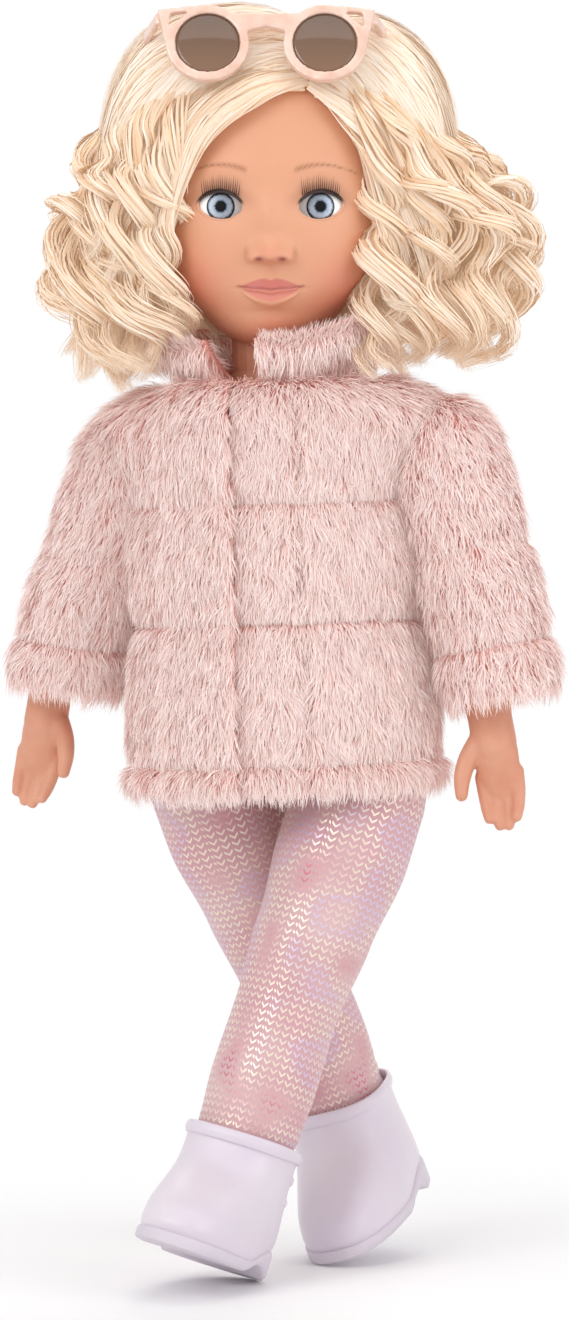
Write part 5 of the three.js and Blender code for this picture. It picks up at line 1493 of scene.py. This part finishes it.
def leg_radius(angle, z):
    """Radius of the legging: the eased stations, a dome over the hip, and shallow slanted creases."""
    tube = eased(np.minimum(z, 0), LEG_STATIONS)
    top = np.sqrt(np.clip(1 - (np.maximum(z, 0) / (LEGGING_TOP + 1)) ** 2, 0, 1))
    gather = bell(z, -147, 11) + 0.5 * bell(z, -97, 10)
    crease = 0.42 * np.sin(0.95 * z + 2.2 * np.sin(angle + 0.6)) * (0.4 + 0.6 * np.cos(angle - 2.4))
    return tube * top + gather * crease


legging_cloth, tree, shader = principled("legging_cloth", Sheen_Weight=0.15)
round_leg, up_leg = uv_sockets(tree, "cloth_mm")

CHEVRON_WIDE = 3.2  # pitch of the columns
CHEVRON_TALL = 2.7  # pitch along a column
column = maths(tree, "FRACT", maths(tree, "DIVIDE", round_leg, CHEVRON_WIDE))
from_middle = maths(tree, "ABSOLUTE", maths(tree, "SUBTRACT", column, 0.5))
along = maths(tree, "DIVIDE", up_leg, CHEVRON_TALL)
slanted = maths(tree, "FRACT", maths(tree, "MULTIPLY_ADD", from_middle, -1.35, along))
stroke = maths(tree, "ABSOLUTE", maths(tree, "SUBTRACT", slanted, 0.5))
on_stroke = maths(tree, "LESS_THAN", stroke, 0.17)
on_column = maths(tree, "LESS_THAN", from_middle, 0.4)
foil = maths(tree, "MULTIPLY", on_stroke, on_column)
sheen_colour = ramp(tree, object_noise(tree, 42.0, 1.0), [
    (0.32, linear(205, 120, 136)), (0.42, linear(229, 198, 191)), (0.52, linear(238, 224, 204)),
    (0.6, linear(212, 192, 222)), (0.7, linear(231, 203, 198))])
cloth_colour = ramp(
    tree, object_noise(tree, 26.0, 2.0), [(0.35, linear(206, 158, 165)), (0.65, linear(216, 181, 183))])
choose = add_node(tree, "ShaderNodeMix", data_type="RGBA")
tree.links.new(foil, choose.inputs["Factor"])
tree.links.new(cloth_colour, choose.inputs["A"])
tree.links.new(sheen_colour, choose.inputs["B"])
set_colour(tree, shader, choose.outputs["Result"])
tree.links.new(maths(tree, "MULTIPLY", foil, 0.35), shader.inputs["Metallic"])
tree.links.new(maths(tree, "MULTIPLY_ADD", foil, -0.35, 0.68), shader.inputs["Roughness"])
knit = object_noise(tree, 1500.0, 2.0)
bump(tree, shader, maths(tree, "MULTIPLY_ADD", foil, 0.8, knit), 0.25, 0.0003)

for name, side in SIDES.items():
    turn = np.linspace(0, 2 * np.pi, LEG_COLUMNS)[None, :]
    tube_levels = np.linspace(LEGGING_END, 0, 150)
    cap_levels = LEGGING_TOP * np.sin(np.linspace(0.1, np.pi / 2, 14))
    level = np.concatenate([tube_levels, cap_levels])[:, None]
    radius = leg_radius(turn, level)
    outward = side * THIGH_SHIFT * smoothstep(level, -100, -30)
    rings = round_points(radius, radius, turn, level) + outward[..., None] * np.array([1.0, 0, 0])
    lip = rings[:1] * np.array([0.86, 0.86, 1.0])
    rings = np.concatenate([lip + np.array([0, 0, 3.0]), rings])
    rows = len(rings)
    faces = grid_faces(rows, LEG_COLUMNS, False)
    cloth = mesh_object(f"{name}_legging_cloth", put(rings.reshape(-1, 3), f"{name}_leg"), faces)
    set_uv(cloth, np.tile(turn[0] * LEG_MEAN_RADIUS, rows), rings[..., 2].ravel(), "cloth_mm")
    wear(cloth, f"{name}_leg", legging_cloth, [f"{name}_legging"])

# %% [markdown]
# The ankle boots are soft moulded imitation leather in a pale lilac white: a square toe, a plain
# shaft with a rolled band at its rim, a thin sole line and a block heel. Every level of the boot is
# one rounded foot outline, and a smooth curve runs through the levels from the sole up to the rim.

# %% Boots
# Height over the floor side, then the reach of toe and heel, and half the width
BOOT_LEVELS = np.array([
    [4.0, 49.0, 23.0, 19.4], [8.0, 49.8, 23.2, 20.0], [14.0, 47.0, 23.0, 20.0],
    [20.0, 40.0, 22.8, 19.6], [25.0, 32.4, 22.2, 19.4], [30.0, 25.4, 21.2, 19.2],
    [35.0, 21.4, 20.4, 19.2], [41.0, 19.8, 20.0, 19.4], [41.6, 20.4, 20.6, 20.2],
    [43.8, 20.8, 21.0, 20.8], [45.6, 20.4, 20.7, 20.4], [46.0, 19.8, 20.1, 19.8],
    [45.4, 19.1, 19.4, 19.1], [40.0, 18.5, 18.7, 18.5]])
LEG_LENGTH = 189.0
BOOT_RIM = 46.0
BALL_HEIGHT = 4.0
HEEL_LIFT = 6.0


def footbed(y):
    """Height of the footbed over the floor side: low under the ball of the foot, lifted on the heel."""
    return BALL_HEIGHT + HEEL_LIFT * smoothstep(y, -16, 6)


def foot_outline(toe, heel, half_width, columns):
    """A rounded foot outline: a superellipse, squarer at the toe than at the heel."""
    angle = full_turn(columns)
    s, c = np.sin(angle), np.cos(angle)
    power = 0.74 + 0.11 * (1 - c) / 2
    x = half_width * np.sign(s) * np.abs(s) ** power
    y = -np.where(c > 0, toe, heel) * np.sign(c) * np.abs(c) ** power
    return x, y


def boot_rings(levels, columns):
    """Rings of the boot, one per level, that follow the footbed below and are level at the rim."""
    rings = []
    for height, toe, heel, half_width in levels:
        x, y = foot_outline(toe, heel, half_width, columns)
        level = np.clip((BOOT_RIM - height) / (BOOT_RIM - BALL_HEIGHT), 0, 1)
        rings.append(np.stack([x, y, height - LEG_LENGTH + (footbed(y) - BALL_HEIGHT) * level], axis=-1))
    return np.array(rings)


boot_skin, tree, shader = principled("boot_skin", Roughness=0.42, Coat_Weight=0.12, Coat_Roughness=0.3)
cloudy = object_noise(tree, 22.0, 3.0)
boot_colour = ramp(tree, cloudy, [(0.35, linear(219, 208, 221)), (0.65, linear(229, 220, 227))])
set_colour(tree, shader, boot_colour)
bump(tree, shader, object_noise(tree, 700.0, 2.0), 0.08, 0.0005)

sole_rubber, tree, shader = principled("sole_rubber", Roughness=0.55, Base_Color=linear(216, 206, 217))
grain_bump(tree, shader, 500, 0.15, 0.0005)

BOOT_ROWS, BOOT_COLUMNS = 60, 96
ARCH_Y, ARCH_RADIUS, ARCH_DROP = -5.0, 16.0, 12.0  # the hollow before the heel is part of a circle
STUD_RADIUS = 2.0
STUD_ROWS, STUD_COLUMNS = 8, 20
STUD_HEIGHTS = (28.0, 36.0)
STUD_ANGLE = 112.0  # degrees from the front to the outer side


def sole_points():
    """A closed sole: underside strips from the middle line to the edge, a rounded wall, and the top."""
    x, y = foot_outline(50.0, 24.0, 20.4, BOOT_COLUMNS)
    top = footbed(y) + 0.3
    arch = np.sqrt(np.clip(ARCH_RADIUS ** 2 - (y - ARCH_Y) ** 2, 0, None))
    under = np.maximum(0, arch - ARCH_DROP)
    shares = [0, 0.35, 0.7, 0.95, 1.0, 1.0, 0.97, 0.6, 0.0]
    heights = [0, 0, 0, 0, 0.15, 0.85, 1.0, 1.0, 1.0]
    levels = [under + (top - under) * height - LEG_LENGTH for height in heights]
    return np.array([np.stack([x * share, y, level], axis=-1) for share, level in zip(shares, levels)])


boot = boot_rings(spline(BOOT_LEVELS[None], BOOT_ROWS)[0], BOOT_COLUMNS)
under_boot = sole_points()
for name, side in SIDES.items():
    leg = f"{name}_leg"
    faces = grid_faces(BOOT_ROWS, BOOT_COLUMNS, True)
    upper = mesh_object(f"{name}_boot_skin", put(boot.reshape(-1, 3), leg), faces)
    wear(upper, leg, boot_skin, [f"{name}_boot_upper"])
    faces = grid_faces(len(under_boot), BOOT_COLUMNS, True)
    sole = mesh_object(f"{name}_boot_base", put(under_boot.reshape(-1, 3), leg), faces)
    wear(merged(sole, 1e-5), leg, sole_rubber, [f"{name}_boot_sole"])
    turn = turn_matrix(0, 0, side * STUD_ANGLE)
    ball, _ = dome(STUD_RADIUS, np.pi / 2, STUD_ROWS, STUD_COLUMNS)
    ball = (ball * np.array([1, 0.7, 1])).reshape(-1, 3)
    spots = [ball + np.array([0, -19.6, height - LEG_LENGTH]) for height in STUD_HEIGHTS]
    faces = many_grids(len(STUD_HEIGHTS), STUD_ROWS, STUD_COLUMNS, True)
    studs = mesh_object(f"{name}_boot_studs", put(np.concatenate(spots) @ turn.T, leg), faces)
    wear(merged(studs), leg, boot_skin)

# %% [markdown]
# Arms and hands are cast vinyl. Fingers are hard to write as one grid, so each finger, the palm and
# the forearm is a tapered tube; the tubes overlap, a voxel remesh makes one skin of them, and a
# smoothing pass rounds the webs between the fingers, as the wax master of such a casting is rounded
# by hand.

# %% Vinyl of the limbs
limb_vinyl, tree, shader = principled(
    "vinyl_limb", Roughness=0.45, Subsurface_Weight=0.12, Subsurface_Scale=0.004,
    Subsurface_Radius=VINYL_SCATTER, Specular_IOR_Level=0.35)
flush = object_noise(tree, 55.0, 2.0)
limb_colour = ramp(tree, flush, [(0.35, linear(214, 148, 120)), (0.65, linear(224, 165, 137))])
set_colour(tree, shader, limb_colour)
bump(tree, shader, flush, 0.05, 0.0004)

# %% Hands
TUBE_STEPS, TUBE_COLUMNS = 24, 20
CAP_SHARES = np.array([0.94, 0.75, 0.45])[:, None, None]  # radii of a rounded end, from the tube outwards
FINGERS = ((-1.5, 15.0), (-0.5, 18.0), (0.5, 18.5), (1.5, 16.0))  # place across the palm, length
FINGER_PITCH = 4.3


def tube(path, radii, flat=1.0):
    """A tapered tube along a path, closed by domes; flat squeezes it front to back."""
    path, radii = np.asarray(path, float), np.asarray(radii, float)
    line = spline(path[None], TUBE_STEPS)[0]
    size = np.interp(np.linspace(0, 1, TUBE_STEPS), np.linspace(0, 1, len(radii)), radii)
    along = unit(np.gradient(line, axis=0))
    out = unit(np.cross(along, np.array([0, 1.0, 0.02])))
    up = np.cross(out, along)
    angle = full_turn(TUBE_COLUMNS)[None, :, None]
    circle = np.cos(angle) * out[:, None] + flat * np.sin(angle) * up[:, None]
    rings = line[:, None] + size[:, None, None] * circle
    reach = np.sqrt(1 - CAP_SHARES ** 2)
    start = line[0] - along[0] * size[0] * reach + CAP_SHARES * size[0] * circle[0]
    end = line[-1] + along[-1] * size[-1] * reach + CAP_SHARES * size[-1] * circle[-1]
    return capped_tube(np.concatenate([start[::-1], rings, end]))


def hand_tubes(side, wrist):
    """Forearm, palm, four fingers and a thumb, in millimetres on the arm's own axes.
    The thumb side faces in; wrist is the height of the wrist."""
    knuckles = wrist - 21
    parts = [
        tube([(0, 0, -50), (0, 0, -75), (0, 0, wrist), (0, -0.6, wrist - 10)], [10.4, 9.9, 8.0, 8.2], 0.88),
        tube([(0, -0.4, wrist - 6), (0, -1.0, wrist - 13), (0, -1.6, knuckles)], [7.2, 8.3, 8.0], 0.62),
        tube([(0, -1.4, wrist - 19), (0, -2.2, wrist - 24)], [8.0, 7.2], 0.52)]
    for place, length in FINGERS:
        x = place * FINGER_PITCH
        bends = [
            (x, -1.4, knuckles), (x * 0.96, -2.6, knuckles - length * 0.4),
            (x * 0.88, -4.8, knuckles - length * 0.75), (x * 0.78, -7.2, knuckles - length)]
        parts.append(tube(bends, [2.7, 2.6, 2.4, 1.9]))
    thumb = [
        (-side * 5.0, -1.5, wrist - 8), (-side * 9.6, -4.6, wrist - 14),
        (-side * 12.0, -7.4, wrist - 20), (-side * 12.8, -9.6, wrist - 26)]
    parts.append(tube(thumb, [4.0, 3.5, 3.1, 2.3]))
    return parts


def moulded(piece, voxel, rounds):
    """Makes one skin of overlapping tubes: voxel remesh, then smoothing, both applied to the mesh."""
    remesh = piece.modifiers.new("one_skin", "REMESH")
    remesh.mode = "VOXEL"
    remesh.voxel_size = voxel * MM
    relax = piece.modifiers.new("round_off", "SMOOTH")
    relax.factor = 0.5
    relax.iterations = rounds
    depsgraph = bpy.context.evaluated_depsgraph_get()
    mesh = bpy.data.meshes.new_from_object(piece.evaluated_get(depsgraph))
    piece.modifiers.clear()
    old = piece.data
    piece.data = mesh
    bpy.data.meshes.remove(old)
    mesh.polygons.foreach_set("use_smooth", np.ones(len(mesh.polygons), dtype=bool))
    return piece


# Height of the wrist, and drift of the hand to one side
HANDS = {"left": (-95.0, -6.0), "right": (-86.0, -6.0)}
for name, side in SIDES.items():
    total, points, faces = 0, [], []
    wrist, drift = HANDS[name]
    for spots, quads in hand_tubes(side, wrist):
        spots[:, 0] += drift * smoothstep(-spots[:, 2], 50, -wrist)
        points.append(spots)
        faces.append(quads + total)
        total += len(spots)
    arm = mesh_object(f"{name}_hand", put(np.concatenate(points), f"{name}_arm"), np.concatenate(faces))
    arm = moulded(merged(arm), 0.6, 6)
    wear(arm, f"{name}_arm", limb_vinyl, [f"{name}_arm"])

# %% [markdown]
# The sunglasses are one moulded frame with upswept corners, a triangular window in each corner, and
# brown lenses. The jointed model already holds their exact outline, so a copy of that solid is
# remeshed finely and smoothed, which gives the soft edges of a moulding. The finish is a pearl
# lacquer: a warm rose base under a clear coat.

# %% Sunglasses
pearl, tree, shader = principled(
    "pearl_frame", Roughness=0.3, Metallic=0.15, Coat_Weight=0.5, Coat_Roughness=0.12)
swirl = object_noise(tree, 160.0, 3.0)
pearl_colour = ramp(tree, swirl, [(0.3, linear(224, 182, 162)), (0.7, linear(242, 210, 194))])
set_colour(tree, shader, pearl_colour)

LENS_LOW, LENS_HIGH = 0.418, 0.448  # metres over the floor, between which the tint deepens
tinted, tree, shader = principled(
    "tinted_lens", Roughness=0.06, Alpha=0.86, Coat_Weight=0.5, Coat_Roughness=0.03)
place = add_node(tree, "ShaderNodeTexCoord")
parts = add_node(tree, "ShaderNodeSeparateXYZ")
span = add_node(tree, "ShaderNodeMapRange", in_From_Min=LENS_LOW, in_From_Max=LENS_HIGH)
tree.links.new(place.outputs["Object"], parts.inputs[0])
tree.links.new(parts.outputs["Z"], span.inputs["Value"])
lens_colour = ramp(tree, span.outputs["Result"], [(0.0, linear(150, 112, 84)), (1.0, linear(92, 62, 44))])
set_colour(tree, shader, lens_colour)


def solid_copy(node, name):
    """A new object with a copy of a node's mesh, its loose triangles joined."""
    piece = bpy.data.objects.new(name, node_objects[node].data.copy())
    bpy.context.scene.collection.objects.link(piece)
    return merged(piece, 2e-5)


frame_copy = moulded(solid_copy("sunglasses_frame", "glasses_frame"), 0.42, 5)
wear(frame_copy, "sunglasses", pearl, ["sunglasses_frame"])

LENS_RADIUS = 11.2
LENS_THICK = 1.3
LENS_ROWS, LENS_COLUMNS = 12, 48
tilt = turn_matrix(-20, 0, 0)
share = np.linspace(0, 1, LENS_ROWS)[:, None]
turn = full_turn(LENS_COLUMNS)[None, :]
bow = -0.7 - 0.9 * (1 - share ** 2) + 0 * turn
face = np.stack([LENS_RADIUS * share * np.cos(turn), bow, LENS_RADIUS * share * np.sin(turn)], axis=-1)
rings = np.concatenate([face, face[::-1] + np.array([0, LENS_THICK, 0])]) * MM @ tilt.T
for name in SIDES:
    low, high = (np.array(corner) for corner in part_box(f"{name}_lens"))
    spots = (rings + (low + high) / 2).reshape(-1, 3)
    lens = mesh_object(f"{name}_lens_glass", spots, grid_faces(2 * LENS_ROWS, LENS_COLUMNS, True))
    wear(merged(lens), "sunglasses", tinted, [f"{name}_lens"])

# %% [markdown]
# Some parts hide inside: the stuffed torso, the shoulder plate with the neck, the legs in the
# leggings, and the discs and cups of the joints. They keep their solids from the jointed model and
# only need a finish. The waist of the leggings is cloth, so it is drawn again as a soft ring of knit.

# %% Inner parts
joint_plastic, tree, shader = principled("joint_plastic", Roughness=0.4, Base_Color=linear(228, 214, 202))
grain_bump(tree, shader, 400, 0.05, 0.0003)

body_cloth, tree, shader = principled(
    "body_cloth", Roughness=0.85, Sheen_Weight=0.2, Base_Color=linear(238, 216, 200))
grain_bump(tree, shader, 1400, 0.3, 0.0004)

waist_knit, tree, shader = principled(
    "waist_knit", Roughness=0.75, Sheen_Weight=0.2, Base_Color=linear(224, 184, 190))
grain_bump(tree, shader, 1500, 0.25, 0.0003)

weight_metal, tree, shader = principled(
    "weight_metal", Roughness=0.45, Metallic=0.8, Base_Color=linear(150, 150, 152))
grain_bump(tree, shader, 500, 0.1, 0.0003)

FINISHES = {
    "torso": body_cloth, "shoulder_plate": limb_vinyl, "neck_flange": joint_plastic,
    "left_leg": limb_vinyl, "right_leg": limb_vinyl,
    "left_shoulder_disc": joint_plastic, "right_shoulder_disc": joint_plastic,
    "left_hip_disc": joint_plastic, "right_hip_disc": joint_plastic,
    "left_eye_socket": eye_white, "right_eye_socket": eye_white,
    "left_eye_weight": weight_metal, "right_eye_weight": weight_metal}
for node, finish in FINISHES.items():
    mesh = node_objects[node].data
    mesh.materials.clear()
    mesh.materials.append(finish)

# Height above the hips, half width and half depth of the seat, from the tops of the legs to the waist
SEAT = np.array([[16, 34.0, 26.0], [21, 39.5, 31.5], [30, 40.2, 32.2], [42, 38.4, 30.8], [54, 35.6, 29.4]])
turn = full_turn(72)[None, :]
level, half_width, half_depth = np.moveaxis(spline(SEAT[None], 30)[0], -1, 0)[..., None]
rings = round_points(half_width, half_depth, turn, level)
points, faces = capped_tube(rings)
waist = merged(mesh_object("leggings_waist_knit", put(points, "torso"), faces))
wear(waist, "torso", waist_knit, ["leggings_waist"])
